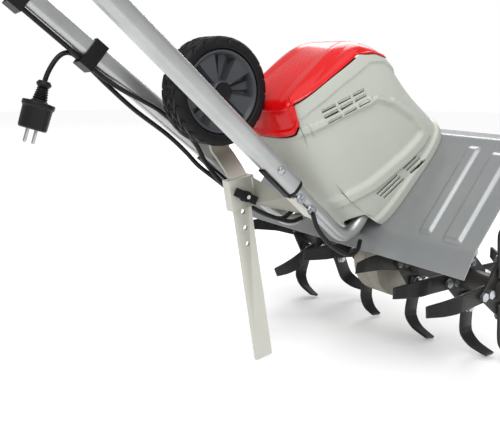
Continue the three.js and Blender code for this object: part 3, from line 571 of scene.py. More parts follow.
@dataclass
class Hood:
    """The moulded motor hood and the glossy cover over its top.

    A point of the shell is found from its place around the ring and its height up the wall. Rings
    are squared ovals, where the fourth powers of both coordinates add up to one.
    """

    levels: tuple = (0.0, 0.25, 0.6, 0.85, 0.94)
    rear: tuple = (-15, -30, -12, 17, 29)
    front: tuple = (200, 201, 203, 200, 189)
    half: tuple = (101, 101, 98, 91, 84)
    rear_taper: float = 0.15
    columns: int = 340
    seam_u: tuple = (-70, 18, 28, 36, 44, 107, 160, 180, 196, 240)
    seam_w: tuple = (208, 208, 216, 235, 241, 224, 208, 186, 155, 150)
    wall: float = 2.6
    proud: float = 3.2
    vent_depth: float = 1.7
    vent_rows: int = 3
    vent_groups: tuple = (
        ((60, 208), (-3.5, -7.4), math.radians(-26.5), ((0, 24), (28, 23), (55, 21))),
        ((32, 49), (2, -8), math.radians(-14), ((0, 46), (60, 32))),
    )
    arch_radius: float = 16
    arch_side: float = 31
    arch_end: float = 30
    foot_gap: float = 0.6
    upper_band: tuple = (
        (-60, 214), (22, 206), (76, 180), (118, 154), (132, 150), (148, 118), (158, 72), (156, 52),
    )
    lower_band: tuple = ((170, 40), (140, 40), (104, 48), (60, 62), (36, 70), (0, 88), (-60, 104))
    shoulder: tuple = (
        (-70, 226), (20, 226), (52, 222), (113, 206), (164, 190), (184, 168), (196, 132), (206, 60),
    )
    shell_seat: Seat = Seat("frame", "hood_plastic", "hood")
    cover_seat: Seat = Seat("frame", "red_gloss_plastic", "cover")

    def ring(self) -> np.ndarray:
        """Evenly spaced points of the squared oval x^4 + y^4 = 1."""
        angle = np.linspace(0, 2 * np.pi, 4001)
        c, s = np.cos(angle), np.sin(angle)
        x, y = np.sign(c) * np.abs(c) ** 0.5, np.sign(s) * np.abs(s) ** 0.5
        run = np.concatenate([[0], np.cumsum(np.hypot(np.diff(x), np.diff(y)))])
        at = np.linspace(0, run[-1], self.columns, endpoint=False)
        return np.stack([np.interp(at, run, x), np.interp(at, run, y)], -1)

    def shell(self, height: np.ndarray, dome: float = 15) -> np.ndarray:
        """Points of the shell in deck coordinates.

        Below 0.8 the height climbs the wall, whose plan is a polynomial through the given levels.
        From 0.8 to 1 the rings shrink as the cosine and rise as the sine of a quarter turn.

        Args:
            height: rows by columns, from 0 at the foot to 1 at the middle of the roof.
            dome: how far the roof rises above the wall.

        Returns:
            Rows by columns by 3.
        """
        level = np.clip(height / 0.8, 0, 1) * self.levels[-1]
        rear, front, half = (
            np.polyval(np.polyfit(self.levels, values, len(values) - 1), level)
            for values in (self.rear, self.front, self.half)
        )
        turn = np.clip((height - 0.8) / 0.2, 0, 1) * np.pi / 2
        size, rise = np.cos(turn), dome * np.sin(turn)
        ring = self.ring()
        middle, reach = (rear + front) / 2, (front - rear) / 2
        u = middle + reach * size * ring[:, 0]
        taper = 1 - self.rear_taper * (front - u) / (front - rear)
        y = half * size * taper * ring[:, 1]
        return np.stack([u, y, level * self.roof(u) + rise], -1)

    @staticmethod
    def roof(u: np.ndarray) -> np.ndarray:
        """The roof's height falls evenly towards the front."""
        return 262 - 0.27 * (u - 20)

    def seam(self) -> np.ndarray:
        """The height of each column at which it meets the cover's edge line."""
        height = np.linspace(0, 1, 400)[:, None] * np.ones(self.columns)
        points = self.shell(height)
        over = points[..., 2] - np.interp(points[..., 0], self.seam_u, self.seam_w)
        first = np.argmax(over > 0, axis=0)
        columns = np.arange(self.columns)
        before, after = over[first - 1, columns], over[first, columns]
        return height[first - 1, 0] + (height[first, 0] - height[first - 1, 0]) * -before / (after - before)

    def foot(self) -> np.ndarray:
        """The height of each column's lower edge: arched over the two handle tubes at the rear."""
        base = self.shell(np.full((1, self.columns), 0.02))[0]
        aside = np.abs(np.abs(base[:, 1]) - TUBE_FOOT[1])
        arched = (aside < self.arch_radius) & (base[:, 0] < self.arch_end)
        round_top = self.arch_side + np.sqrt(np.clip(self.arch_radius ** 2 - aside ** 2, 0, None))
        arch = np.where(arched, round_top, self.foot_gap)
        return arch / self.roof(base[:, 0]) / self.levels[-1] * 0.8

    @staticmethod
    def outward(points: np.ndarray) -> np.ndarray:
        """Unit normals: the cross product of the steps around and up."""
        around = np.roll(points, -1, axis=1) - np.roll(points, 1, axis=1)
        normal = np.cross(around, np.gradient(points, axis=0))
        return normal / np.maximum(np.linalg.norm(normal, axis=2), 1e-9)[..., None]

    def relief(self, points: np.ndarray) -> np.ndarray:
        """How far the wall stands out: the skirt, the side panel's raised frame and a shoulder line.

        Each is a height in millimetres times smooth steps across its edges, and they are added up.

        Args:
            points: any shape by 3, in deck millimetres.

        Returns:
            The same shape without its last axis, in millimetres.
        """
        u, y, w = np.moveaxis(points, -1, 0)
        beside = smooth_step((np.abs(y) - 44) / 36)
        top, low = self.at_u(self.upper_band[:6], u), self.at_u(self.lower_band, u)
        right = np.interp(w, *np.array(sorted((height, along) for along, height in self.upper_band[3:])).T)
        frame = (smooth_step((top + 10 - w) / 3) * smooth_step((w - low + 16) / 4)
                 * smooth_step((right + 10 - u) / 3))
        panel = smooth_step((top - w) / 7) * smooth_step((w - low) / 10) * smooth_step((right - u) / 7)
        ridge = self.at_u(self.shoulder, u)
        below = smooth_step((ridge - w) / 3.5)
        skirt = smooth_step((self.skirt_height(u) - w) / 3.5)
        return 5.0 * skirt + beside * (4.6 * frame - 6.2 * panel - 3.4 * below + 3.0)

    @staticmethod
    def at_u(line: tuple, u: np.ndarray) -> np.ndarray:
        """The height of a line of (u, w) points at each u."""
        return np.interp(u, *np.array(sorted(line)).T)

    @staticmethod
    def skirt_height(u: np.ndarray) -> np.ndarray:
        """The skirt's upper edge, which falls slightly towards the front."""
        return 19 - 0.02 * u

    def wall_y(self, u: np.ndarray, w: np.ndarray) -> np.ndarray:
        """The half width of the outer wall at a point of its side view, from the ring's equation.

        Args:
            u: places along the deck.
            w: heights over the deck.

        Returns:
            The half widths in millimetres, with the relief added.
        """
        level = w / self.roof(u)
        rear, front, half = (
            np.polyval(np.polyfit(self.levels, values, len(values) - 1), level)
            for values in (self.rear, self.front, self.half)
        )
        across = np.clip(1 - ((u - (rear + front) / 2) / ((front - rear) / 2)) ** 4, 0, 1) ** 0.25
        plain = half * (1 - self.rear_taper * (front - u) / (front - rear)) * across
        return plain + self.relief(np.stack([u, plain, w], -1))

    def slots(self) -> list:
        """The vents on each side wall: rows of slots that step down and along from the first row.

        Returns:
            The centre's u and w, the angle and the length of each slot.
        """
        found = []
        for row in range(self.vent_rows):
            for (u, w), (step_u, step_w), angle, lengths in self.vent_groups:
                for start, length in lengths:
                    along = start + length / 2
                    found.append((
                        u + step_u * row + along * math.cos(angle),
                        w + step_w * row + along * math.sin(angle),
                        angle,
                        length,
                    ))
        return found

    def cutters(self, width: float, shift: float, depth: float) -> bpy.types.Object:
        """One body of rounded bars, whose inner faces follow both side walls below their surface.

        Args:
            width: of each bar.
            shift: from each vent's middle, across its length.
            depth: how far each bar reaches below the wall's surface.

        Returns:
            The cutting body.
        """
        bars = []
        for u, w, angle, length in self.slots():
            turn = np.array([[math.cos(angle), math.sin(angle)], [-math.sin(angle), math.cos(angle)]])
            flat = (rounded(length, width, width * 0.4, 4) + (0, shift)) @ turn + (u, w)
            skin = self.wall_y(*flat.T)
            for sign in (1, -1):
                rows = [np.column_stack([flat[:, 0], sign * (skin + gap), flat[:, 1]]) for gap in (-depth, 9)]
                bars.append(surface("bar", DECK.row(np.stack(rows))))
        return joined("vent_cutter", bars)

    def build(self) -> None:
        """Builds the hood with its vents, and the cover."""
        seam, foot = self.seam(), self.foot()
        share = np.linspace(0, 1, 130)[:, None]
        walls = self.shell(foot + (seam - foot - 0.001) * share)
        walls += self.outward(walls) * self.relief(walls)[..., None]
        hood = walled(surface("motor_hood", DECK.row(walls), ends=Ends.OPEN, sharp=45), self.wall)
        self.cut_vents(hood)
        self.shell_seat.dress(hood, "hood")

        share = np.concatenate([[0, 0.004, 0.012, 0.02], np.linspace(0.03, 1, 70) ** 0.9])[:, None]
        roof = self.shell((seam + 0.009) + (1 - seam - 0.009) * share, 15)
        out = self.outward(roof)
        out[-1] = DECK.axes[2] @ DECK.axes.T
        rim = np.interp(share, [0, 0.012, 0.07, 0.1, 0.12], [0.7, 1, 1, 0.3, 0.25])
        cover = surface("red_cover", DECK.row(roof + out * (self.proud * rim + self.facets(roof))[..., None]),
                        ends=Ends.OPEN, sharp=28)
        self.cover_seat.dress(walled(cover, 2.2), "top_cover")

    def facets(self, points: np.ndarray) -> np.ndarray:
        """How far the cover's creases stand out: along each side a ridge, and a dip beside it.

        With d the distance of |y| from the crest the ridge is 3.4 (1 - d / 16), and with d its
        distance from the valley the dip is 2.2 (1 - d / 9), each where it is above zero. Their
        difference fades out at both ends of the cover, and 1.2 is added all over.

        Args:
            points: rows by columns by 3, in deck millimetres.

        Returns:
            Rows by columns, in millimetres.
        """
        u, across = points[..., 0], np.abs(points[..., 1])
        crest = 62 - 0.12 * u
        valley = 84 - 0.03 * u
        ridge = 3.4 * np.clip(1 - np.abs(across - crest) / 16, 0, 1)
        dip = 2.2 * np.clip(1 - np.abs(across - valley) / 9, 0, 1)
        forward = smooth_step((u - 12) / 24) * smooth_step((190 - u) / 40)
        return forward * (ridge - dip) + 1.2

    @staticmethod
    def apply(piece: bpy.types.Object) -> None:
        """Applies a piece's modifiers to its mesh."""
        graph = bpy.context.evaluated_depsgraph_get()
        piece.data = bpy.data.meshes.new_from_object(piece.evaluated_get(graph))
        piece.modifiers.clear()

    def cut_vents(self, hood: bpy.types.Object) -> None:
        """Cuts a shallow pocket for each vent and then a narrow slit along its lower edge.

        Args:
            hood: the walled hood, which is changed.

        Raises:
            ValueError: where a cut has removed the hood.
        """
        for width, shift, depth in ((4.4, 0, self.vent_depth), (1.3, -2.0, 9)):
            tool = self.cutters(width, shift, depth)
            cut = hood.modifiers.new("vents", "BOOLEAN")
            cut.operation = "DIFFERENCE"
            cut.solver = "EXACT"
            cut.object = tool
            bpy.context.view_layer.update()
            self.apply(hood)
            bpy.data.objects.remove(tool)
        if len(hood.data.polygons) < self.columns * 100:
            raise ValueError("the vents cut away the hood")


# ---- Handle tubes -------------------------------------------------------------------------------

@dataclass
class HandleTubes:
    """Bent lower tubes, wider middle tubes with rounded-square sections, and the upper handle."""

    lower_radius: float = 10.5
    lower_top: float = 212
    middle: tuple = (27.6, 26, 9)
    middle_run: tuple = (148, 624)
    middle_wall: float = 1.3
    upper_radius: float = 12.5
    upper_start: float = 588
    upper_offset: float = 31
    bend: float = 1100
    grip_angle: float = math.radians(40.6)
    grip_length: float = 150

    @staticmethod
    def bent(start: tuple, corner: tuple, end: tuple, reach: float) -> np.ndarray:
        """A path with one round corner: straight, a quadratic curve through the corner, straight."""
        a, b, c = (np.array(p, float) for p in (start, corner, end))
        into = b + (a - b) / np.linalg.norm(a - b) * reach
        out = b + (c - b) / np.linalg.norm(c - b) * reach
        t = np.linspace(0, 1, 15)[:, None]
        return np.vstack([a, (1 - t) ** 2 * into + 2 * t * (1 - t) * b + t ** 2 * out, c])

    def build_lower(self, side: str) -> None:
        """The round tube that is bolted down on the deck and rises into the middle tube."""
        path = self.bent((95, 0, -5), (0, 0, -5), (0, 0, self.lower_top), 36)
        rows = carried(path, circle(self.lower_radius, 40))
        tube = surface(f"lower_tube_{side}_skin", TUBES[side].row(rows))
        Seat("frame", "aluminium_tube", "tube").dress(bevelled(tube, 0.5), f"lower_tube_{side}")

    def build_middle(self, side: str) -> None:
        """The wide tube: its outline outside, then inside, joined over both ends."""
        width, depth, corner = self.middle
        start, end = self.middle_run
        outer = rounded(width, depth, corner)
        inner = rounded(width - 2 * self.middle_wall, depth - 2 * self.middle_wall, corner - self.middle_wall)
        rows = [extruded(outer, start, end), extruded(inner, start, end)[::-1]]
        tube = surface(f"middle_tube_{side}_skin", TUBES[side].row(np.concatenate(rows)), ends=Ends.JOINED)
        Seat("frame", "aluminium_tube", "tube").dress(bevelled(tube, 0.3), f"middle_tube_{side}")

    def build_upper(self, side: str) -> None:
        """The round tube that folds, its angled end and the ribbed grip on it.

        Args:
            side: left or right.
        """
        out = np.array([-math.sin(self.grip_angle), 0, math.cos(self.grip_angle)])
        corner = np.array([0, 0, self.bend])
        path = self.bent((0, 0, self.upper_start), corner, corner + out * self.grip_length, 40)
        shift = np.array([0, SIDES[side] * self.upper_offset, 0])
        tube = surface(f"upper_tube_{side}_skin",
                       TUBES[side].row(carried(path, circle(self.upper_radius, 40)) + shift))
        Seat("upper_handle", "aluminium_tube", "tube").dress(bevelled(tube, 0.5), f"upper_tube_{side}")

        at = np.linspace(0, 106, 160)
        ribs = 16.5 - 1.0 * smooth_step(np.abs((at % 7) - 3.5) / 1.6 - 1.2) * (at > 12) * (at < 96)
        radii = np.concatenate([[12.8], ribs, [15.6, 12, 0.2]])
        heights = np.concatenate([[0], at, [109, 110.5, 110.5]])
        rows = turned_rows(list(zip(radii, heights)), 48)
        lifted = np.stack([rows[..., 0], rows[..., 1], rows[..., 2] + 46], -1) @ about(1, -self.grip_angle)
        grip = surface(f"grip_{side}_skin", TUBES[side].row(lifted + corner + shift))
        Seat("upper_handle", "grip_rubber", "grip").dress(grip, f"grip_{side}")

    @staticmethod
    def build_bracket_bolts(side: str) -> None:
        """Two hexagon heads with washers, where the bracket's arm meets the tube.

        Args:
            side: left or right.
        """
        sign = SIDES[side]
        turn = np.array([[1, 0, 0], [0, 0, -sign], [0, sign, 0]])
        stack = ((circle(7.5, 24), 0, 1.4), (circle(6.2, 6), 1.4, 6), (circle(3.2, 16), 6, 9))
        parts = []
        for height in (100, 128):
            place = TUBES[side].turned(turn, (-7, sign * 8, height))
            for outline, low, high in stack:
                part = surface("part", place.row(extruded(outline, low, high)))
                parts.append(bevelled(part, 0.5))
        Seat("frame", "zinc_steel", "zinc").dress(joined(f"bracket_bolts_{side}", parts))

    def build(self) -> None:
        """Builds both sides."""
        for side in SIDES:
            self.build_lower(side)
            self.build_middle(side)
            self.build_upper(side)
            self.build_bracket_bolts(side)


# ---- Rotor --------------------------------------------------------------------------------------

@dataclass
class Rotor:
    """Six star plates with four bent blades each, held by two bolts a blade."""

    offsets: tuple = (56, 158, 222)
    phases: tuple = ((1, (-96, -66, -108)), (-1, (-100, -90, -84)))
    plate_half: float = 36
    plate_thick: float = 4
    blade_thick: float = 5
    hub_radius: float = 17
    bolt_places: tuple = (29, 44)
    seat: Seat = Seat("rotor", "black_steel", "tine")

    def blade_rows(self, bend: int, reach: float) -> np.ndarray:
        """A flat blade along Z, carried through smooth stations: bent to one side and swept back.

        Args:
            bend: 1 or -1, the side that it bends to.
            reach: how far it bends, as a share of the full bend.

        Returns:
            Rows of section points in the rotor's millimetres.
        """
        side = np.array([0, 0, 0, 3, 13, 25.4, 37.8]) * reach
        out = np.array([21, 50, 78, 91, 103, 110, 115.2])
        lean = np.radians([0, 0, 4, 28, 54, 63, 68])
        sweep = np.array([0, 0, 0, -2, -6, -10.5, -15])
        half = np.array([13, 13, 13, 13, 12, 10.5, 9])
        stations = curve_through(np.column_stack([sweep, side, out]), 5)
        share = np.linspace(0, 6, len(stations))
        tilt, half_width = np.interp(share, range(7), lean), np.interp(share, range(7), half)
        thick = self.blade_thick / 2
        width = np.array([-1, -0.9, 0.9, 1, 1, 0.9, -0.9, -1])
        face = np.array([-0.7, -1, -1, -0.7, 0.7, 1, 1, 0.7])
        x = stations[:, :1] + width * half_width[:, None]
        y = bend * (stations[:, 1:2] + face * thick * np.cos(tilt)[:, None])
        z = stations[:, 2:] - face * thick * np.sin(tilt)[:, None]
        return np.stack([x, y, z], -1)

    def plate_rows(self, offset: float) -> np.ndarray:
        """The star plate: a rounded square around the hub, with its bore, joined over both faces.

        Args:
            offset: the plate's place along the axle.

        Returns:
            Four loops of points in the rotor's millimetres.
        """
        outer = rounded(2 * self.plate_half, 2 * self.plate_half, 6, 9)
        angle = np.arctan2(outer[:, 1], outer[:, 0])
        inner = (self.hub_radius + 0.3) * np.stack([np.cos(angle), np.sin(angle)], -1)
        low, high = offset - self.plate_thick / 2, offset + self.plate_thick / 2
        loops = [(outer, low), (outer, high), (inner, high), (inner, low)]
        return np.stack([
            np.column_stack([flat[:, 0], np.full(len(flat), y), flat[:, 1]]) for flat, y in loops
        ])

    def bolt(self, name: str, place: Place, low: float, high: float) -> bpy.types.Object:
        """A hexagon nut with a washer on one face, the bolt's head on the other, and its thread end.

        Args:
            name: the piece's name.
            place: where it stands, with Z along the bolt.
            low: the face under the head.
            high: the face under the washer.

        Returns:
            The new piece.
        """
        nut = circle(7.2, 6)
        stack = [
            (circle(8.2, 24), high, high + 1.2),
            (nut, high + 1.2, high + 7),
            (circle(3.9, 16), low, high + 9.5),
            (nut, low - 5, low),
        ]
        return joined(name, [
            bevelled(surface("part", place.row(extruded(outline, a, b))), 0.6) for outline, a, b in stack
        ])

    def build_star(self, side: str, number: int, offset: float, phase: float) -> None:
        """Builds one plate with its blades and bolts.

        Args:
            side: left or right.
            number: the star's place from the middle, from 1.
            offset: the plate's place along the axle.
            phase: the first blade's angle in degrees.
        """
        name = f"{side}_{number}"
        sign = SIDES[side]
        start = math.radians(phase)
        plate_place = ROTOR.turned(about(1, -(start + math.pi / 4)))
        plate = surface(f"star_plate_{name}", plate_place.row(self.plate_rows(offset)), ends=Ends.JOINED)
        self.seat.dress(bevelled(plate, 0.8), f"tine_star_{name}")
        for blade in range(4):
            bend = 1 if blade % 2 else -1
            reach = 0.45 if number == 1 and bend == -sign else 1
            place = ROTOR.turned(about(1, math.pi / 2 - start - blade * math.pi / 2))
            shift = np.array([0, offset + bend * (self.plate_thick / 2 + self.blade_thick / 2), 0])
            rows = self.blade_rows(bend, reach) + shift
            piece = surface(f"tine_{name}_{blade + 1}", place.row(rows), sharp=30)
            self.seat.dress(bevelled(piece, 0.5, 30))
            near = offset - bend * self.plate_thick / 2
            far = offset + bend * (self.plate_thick / 2 + self.blade_thick)
            across = np.array([[1, 0, 0], [0, 0, -bend], [0, bend, 0]])
            bolts = [
                self.bolt("bolt", place.turned(across, (0, 0, height)), bend * near, bend * far)
                for height in self.bolt_places
            ]
            Seat("rotor", "zinc_steel", "zinc").dress(joined(f"tine_bolts_{name}_{blade + 1}", bolts))

    def build(self) -> None:
        """Builds the six stars."""
        for sign, phases in self.phases:
            side = "left" if sign > 0 else "right"
            for number, (offset, phase) in enumerate(zip(self.offsets, phases), 1):
                self.build_star(side, number, sign * offset, phase)


# ---- Transport wheel ----------------------------------------------------------------------------

@dataclass
class TransportWheel:
    """A treaded tyre on a moulded centre with wedge spokes."""

    radius: float = 74
    half_width: float = 22.5
    rim_radius: float = 56.5
    spokes: int = 5
    blocks: int = 22

    def place(self) -> Place:
        """The wheel's own frame, whose Z is the axle, pointing to the right of the machine."""
        return DRAG.turned(about(0, math.pi / 2), WHEEL_CENTRE)

    def build_tyre(self) -> None:
        """The tyre: a closed profile turned round, with zigzag blocks standing on its tread."""
        count = 528
        shoulder, groove = self.half_width - 1.5, 3.2
        half = np.concatenate([np.linspace(0, 15, 12), np.linspace(15.6, shoulder, 14), [self.half_width]])
        crown = self.radius - 0.4
        radii = np.concatenate([
            np.full(12, crown), crown - 4.2 * np.linspace(0, 1, 14) ** 2, [self.radius - 8],
        ])
        wall = np.array([[self.radius - 13, 22.2], [self.rim_radius + 6, 21.2], [self.rim_radius + 4, 22.0],
                         [self.rim_radius + 1.4, 20.6], [self.rim_radius + 0.3, 17.5]])
        right = np.vstack([np.column_stack([radii, half]), wall])
        profile = np.vstack([right, right[::-1] * (1, -1)])
        rows = turned_rows(profile.tolist(), count)
        angle = np.arange(count) * 2 * np.pi / count
        height = profile[:, 1:2]
        swing = 0.9 * np.abs((np.abs(height) / 9) % 2 - 1) + 0.5 * np.sign(height)
        phase = (self.blocks * angle[None] / (2 * np.pi) + swing) % 1
        cut = smooth_step((0.17 - np.abs(phase - 0.5)) / 0.06)
        rib = smooth_step((1.7 - np.abs(np.abs(height) - 6 - 1.6 * np.sin(self.blocks * angle[None]))) / 0.8)
        on_tread = smooth_step((profile[:, :1] - (self.radius - 11)) / 3)
        depth = groove * np.maximum(cut, rib) * on_tread
        scale = 1 - depth / np.maximum(profile[:, :1], 1)
        rows = rows * np.stack([scale, scale, np.ones_like(scale)], -1)
        tyre = surface("tyre_with_tread", self.place().row(rows), ends=Ends.JOINED, sharp=38)
        Seat("wheel", "tyre_rubber", "tyre").dress(tyre, "wheel_tyre")

    def build_rim(self) -> None:
        """The centre: a height over radius and angle on both faces, with pockets between spokes."""
        count = 300
        r = np.concatenate([
            [6.6, 7.6, 13, 14.2, 15.2], np.linspace(16.4, 48.6, 24), [49.8, 51, 52.2, 53.4, 55.4, 56.2],
        ])
        angle = np.arange(count) * 2 * np.pi / count
        across = np.abs((angle * self.spokes / (2 * np.pi)) % 1 - 0.5) * 2 * np.pi / self.spokes
        wedge = smooth_step((0.30 - across)[None] * r[:, None] / 2.2 + 0.5)
        pocket = smooth_step((r - 15.4) / 1.5) * smooth_step((50.5 - r) / 1.6)
        base = np.interp(
            r, [6.6, 7.6, 13, 14.2, 16, 50, 52.2, 53.4, 55.4, 56.2], [19, 20, 20, 19, 15, 16, 19, 20, 20, 18])
        block = 0.35 * smooth_step((0.14 - np.abs(across - 0.628))[None] * r[:, None] / 1.6 + 0.5)
        face = base[:, None] - pocket[:, None] * 13.0 * (1 - wedge) * (1 - block)
        ring = np.broadcast_to(r[:, None], face.shape)
        top = np.stack([ring * np.cos(angle), ring * np.sin(angle), face], -1)
        rows = np.concatenate([top, top[::-1] * (1, 1, -1)])
        rim = surface("spoked_rim", self.place().row(rows), ends=Ends.JOINED, sharp=30)
        Seat("wheel", "grey_plastic", "rim").dress(rim, "wheel_rim")

    def build(self) -> None:
        """Builds the tyre, the rim and its cap."""
        self.build_tyre()
        self.build_rim()
        profile = [(6.3, 20.5), (12.6, 20.5), (12.6, 22.5), (11.8, 24), (9, 24.6), (8.4, 24.2), (0.1, 24.4),
                   (0.1, 22.4), (6.3, 22.4)]
        cap = surface("wheel_cap", self.place().row(turned_rows(profile, 48)), ends=Ends.JOINED, sharp=30)
        Seat("wheel", "black_plastic", "nylon").dress(cap, "hub_cap")


# ---- Leads, supply cord and plug ----------------------------------------------------------------

@dataclass
class Leads:
    """The leads clipped along the left tube, and the short supply cord with its plug."""

    radius: float = 3.4
    motor: tuple = (
        (-18.2, -4.2, 562), (-18.2, -4.2, 430), (-18.6, -6, 396), (-17, -15, 366), (-11, -21, 334),
        (-6, -23, 300), (-8, -24, 240), (-22, -24, 200), (-30, -26, 150), (-27, -30, 90),
        (-10, -35, 34), (10, -34.6, 14),
    )
    supply: tuple = (
        (-18.2, 4.2, 430), (-18.2, 4.2, 412), (-21, 3, 380), (-23, 2, 330), (-20, 1, 270), (-22, 0, 230),
        (-26, -2, 200), (-27, -12, 160), (-28, -18, 120), (-24, -22, 76), (-10, -25, 40), (14, -25.4, 30),
    )
    handle: tuple = (
        (-23, 21, 600), (-22.6, 22.4, 608), (-20, 28, 645), (-17.6, 31, 700), (-17.6, 31, 820),
        (-17.6, 31, 938.5),
    )
    fold: tuple = (
        (-18.2, -4.2, 562.8), (-18.3, -4, 567), (-21, 4, 577), (-23.4, 15, 588),
        (-23.3, 20.2, 595), (-23, 21, 599.2),
    )
    earth: tuple = (
        (-12, -15, 100), (-24, -17, 74), (-27, -19, 34), (-17, -17, -8), (0, -13, -21), (16, -4, -26),
    )
    cord: tuple = (
        (-241.1, 102.8, 454.6), (-244.5, 102.9, 457.4), (-249, 103.2, 459.9), (-255, 103.6, 460.9),
        (-261, 103.9, 459.4), (-266.5, 104.1, 455.9), (-271.5, 104.3, 450.9), (-276.2, 104.4, 444.9),
        (-280.5, 104.5, 438.3), (-284.3, 104.6, 431.2), (-287.2, 104.6, 424.3),
    )
    plug_top: tuple = (-287.4, 104.6, 423.6)
    plug_lean: float = math.radians(18.7)
    plug_roll: float = math.radians(-35)
    machine: Place = Place(np.array([0.24874, 0, 0]), np.eye(3))

    def tube(self, name: str, place: Place, points: tuple, steps: int = 8) -> bpy.types.Object:
        """A round lead along a smooth line through points."""
        path = curve_through(np.array(points), steps)
        return surface(name, place.row(carried(path, circle(self.radius, 20))), sharp=50)

    def build_leads(self) -> None:
        """The three clipped leads and the loop over the fold."""
        left = TUBES["left"]
        fixed = Seat("frame", "lead_rubber", "lead")
        fixed.dress(self.tube("motor_lead_skin", left, self.motor), "motor_lead")
        fixed.dress(self.tube("supply_lead_skin", left, self.supply), "supply_lead")
        handle = self.tube("handle_lead_skin", left, self.handle)
        Seat("upper_handle", "lead_rubber", "lead").dress(handle, "handle_lead")
        fixed.dress(self.tube("earth_lead", TUBES["right"], self.earth))
        loop = self.tube("lead_loop_skin", left, self.fold)
        loop.data.materials.append(MATERIALS["lead"])
        ends = left.row(np.array([self.fold[0], self.fold[-1]]))
        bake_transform(loop)
        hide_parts("lead_loop")

    def plug_parts(self) -> tuple:
        """The plug body with its ribbed neck and flange, and its two pins.

        Returns:
            The body, and both pins as one piece.
        """
        place = self.machine.turned(
            about(2, self.plug_roll) @ about(0, math.pi) @ about(1, self.plug_lean), self.plug_top)
        rib = [(6.6 + 1.3 * (k % 2) + 0.25 * k, 9 + 1.6 * k) for k in range(11)]
        profile = [
            (0.1, 0), (7.6, 0), (8.2, 0.8), (10, 3.4), (10.3, 4.2), (10, 5), (8.2, 8), *rib, (11.5, 28),
            (21, 29.2), (21.8, 30), (22, 31), (22, 34), (21.6, 35.4), (20.6, 36.4), (20, 38),
            (19.5, 62), (19, 64.6), (17.6, 66), (0.1, 66),
        ]
        body = surface("plug_body", place.row(turned_rows(profile, 64)), sharp=32)
        pins = []
        for offset in (-9.5, 9.5):
            pin = [(0.1, 60), (2.4, 60), (2.4, 83), (1.8, 84.6), (0.1, 85)]
            shifted = turned_rows(pin, 20) + (offset, 0, 0)
            pins.append(surface("pin", place.row(shifted)))
        return body, joined("plug_pins", pins)

    def build_cord(self) -> None:
        """The cord from the clip to the plug, and the plug with its pins."""
        path = curve_through(np.array(self.cord), 4)
        line = self.machine.row(path)
        cord = surface("supply_cord_skin", self.machine.row(carried(path, circle(self.radius, 20))), sharp=50)
        body, pins = self.plug_parts()
        Seat("frame", "lead_rubber", "lead").dress(cord, "supply_cord")
        Seat("frame", "lead_rubber", "plug").dress(body, "supply_plug")
        Seat("frame", "zinc_steel", "zinc").dress(pins)

    def build(self) -> None:
        """Builds every lead."""
        self.build_cord()
        self.build_leads()


# ---- Machined and pressed parts kept from the frame ---------------------------------------------

@dataclass
class KeptParts:
    """Parts whose CAD shape is right: each is copied, its flat faces merged and its edges rounded."""

    groups: tuple = (
        (("gear_case_left", "gear_case_right"), "casting", 1.6),
        (("motor_frame",), "casting", 1.0),
        (("axle_bearing_left", "axle_bearing_right"), "zinc", 0.5),
        (("tine_axle", "tine_hub_left", "tine_hub_right"), "tine", 1.0),
        (("worm_wheel",), "bronze", 0.3),
        (("motor_rotor",), "zinc", 0.5),
        (("cooling_fan",), "nylon", 0.3),
        (("tube_liner_left", "tube_liner_right", "tube_saddle_left", "tube_saddle_right"), "nylon", 0.7),
        (("cable_clip_1", "cable_clip_2"), "nylon", 1.2),
        (("frame_bolt_left", "frame_bolt_right", "fold_bolt_left", "fold_bolt_right"), "zinc", 0.4),
        (("clamp_bolt", "wheel_axle"), "zinc", 0.5),
        (("fold_spacer_left", "fold_spacer_right", "fold_knob_left", "fold_knob_right"), "nylon", 1.0),
        (("handle_crossbar",), "tube", 0.5),
        (("switch_box",), "nylon", 2.0),
        (("switch_lever", "safety_button"), "switch", 1.0),
        (("drag_bar", "sleeve_bracket"), "bar", 0.6),
        (("wing_nut",), "nylon", 1.4),
    )

    @staticmethod
    def refined(node: str, width: float) -> bpy.types.Object:
        """A copy of a node with merged corners, whole flat faces and rounded edges.

        Args:
            node: the CAD node's name.
            width: the rounding in millimetres.

        Returns:
            The new piece.
        """
        source = frame["nodes"][node]
        mesh = source.data.copy()
        mesh.name = node + "_skin"
        work = bmesh.new()
        work.from_mesh(mesh)
        bmesh.ops.remove_doubles(work, verts=work.verts, dist=2e-6)
        bmesh.ops.dissolve_limit(work, angle_limit=math.radians(1), verts=work.verts, edges=work.edges)
        work.to_mesh(mesh)
        work.free()
        mesh.shade_smooth()
        mesh.set_sharp_from_angle(angle=math.radians(32))
        made = bpy.data.objects.new(node + "_skin", mesh)
        bpy.context.scene.collection.objects.link(made)
        return bevelled(made, width, 35)

    def build(self) -> None:
        """Refines and dresses every kept part."""
        slots = {part["node"]: part["material_slot"] for part in frame["record"]["subparts"]}
        bodies = {n: body for body, nodes in frame["record"]["behaviour"]["bodies"].items() for n in nodes}
        for nodes, finish, width in self.groups:
            for node in nodes:
                piece = self.refined(node, width)
                Seat(bodies[node], slots[node], finish).dress(piece, node)


# ---- Stage --------------------------------------------------------------------------------------

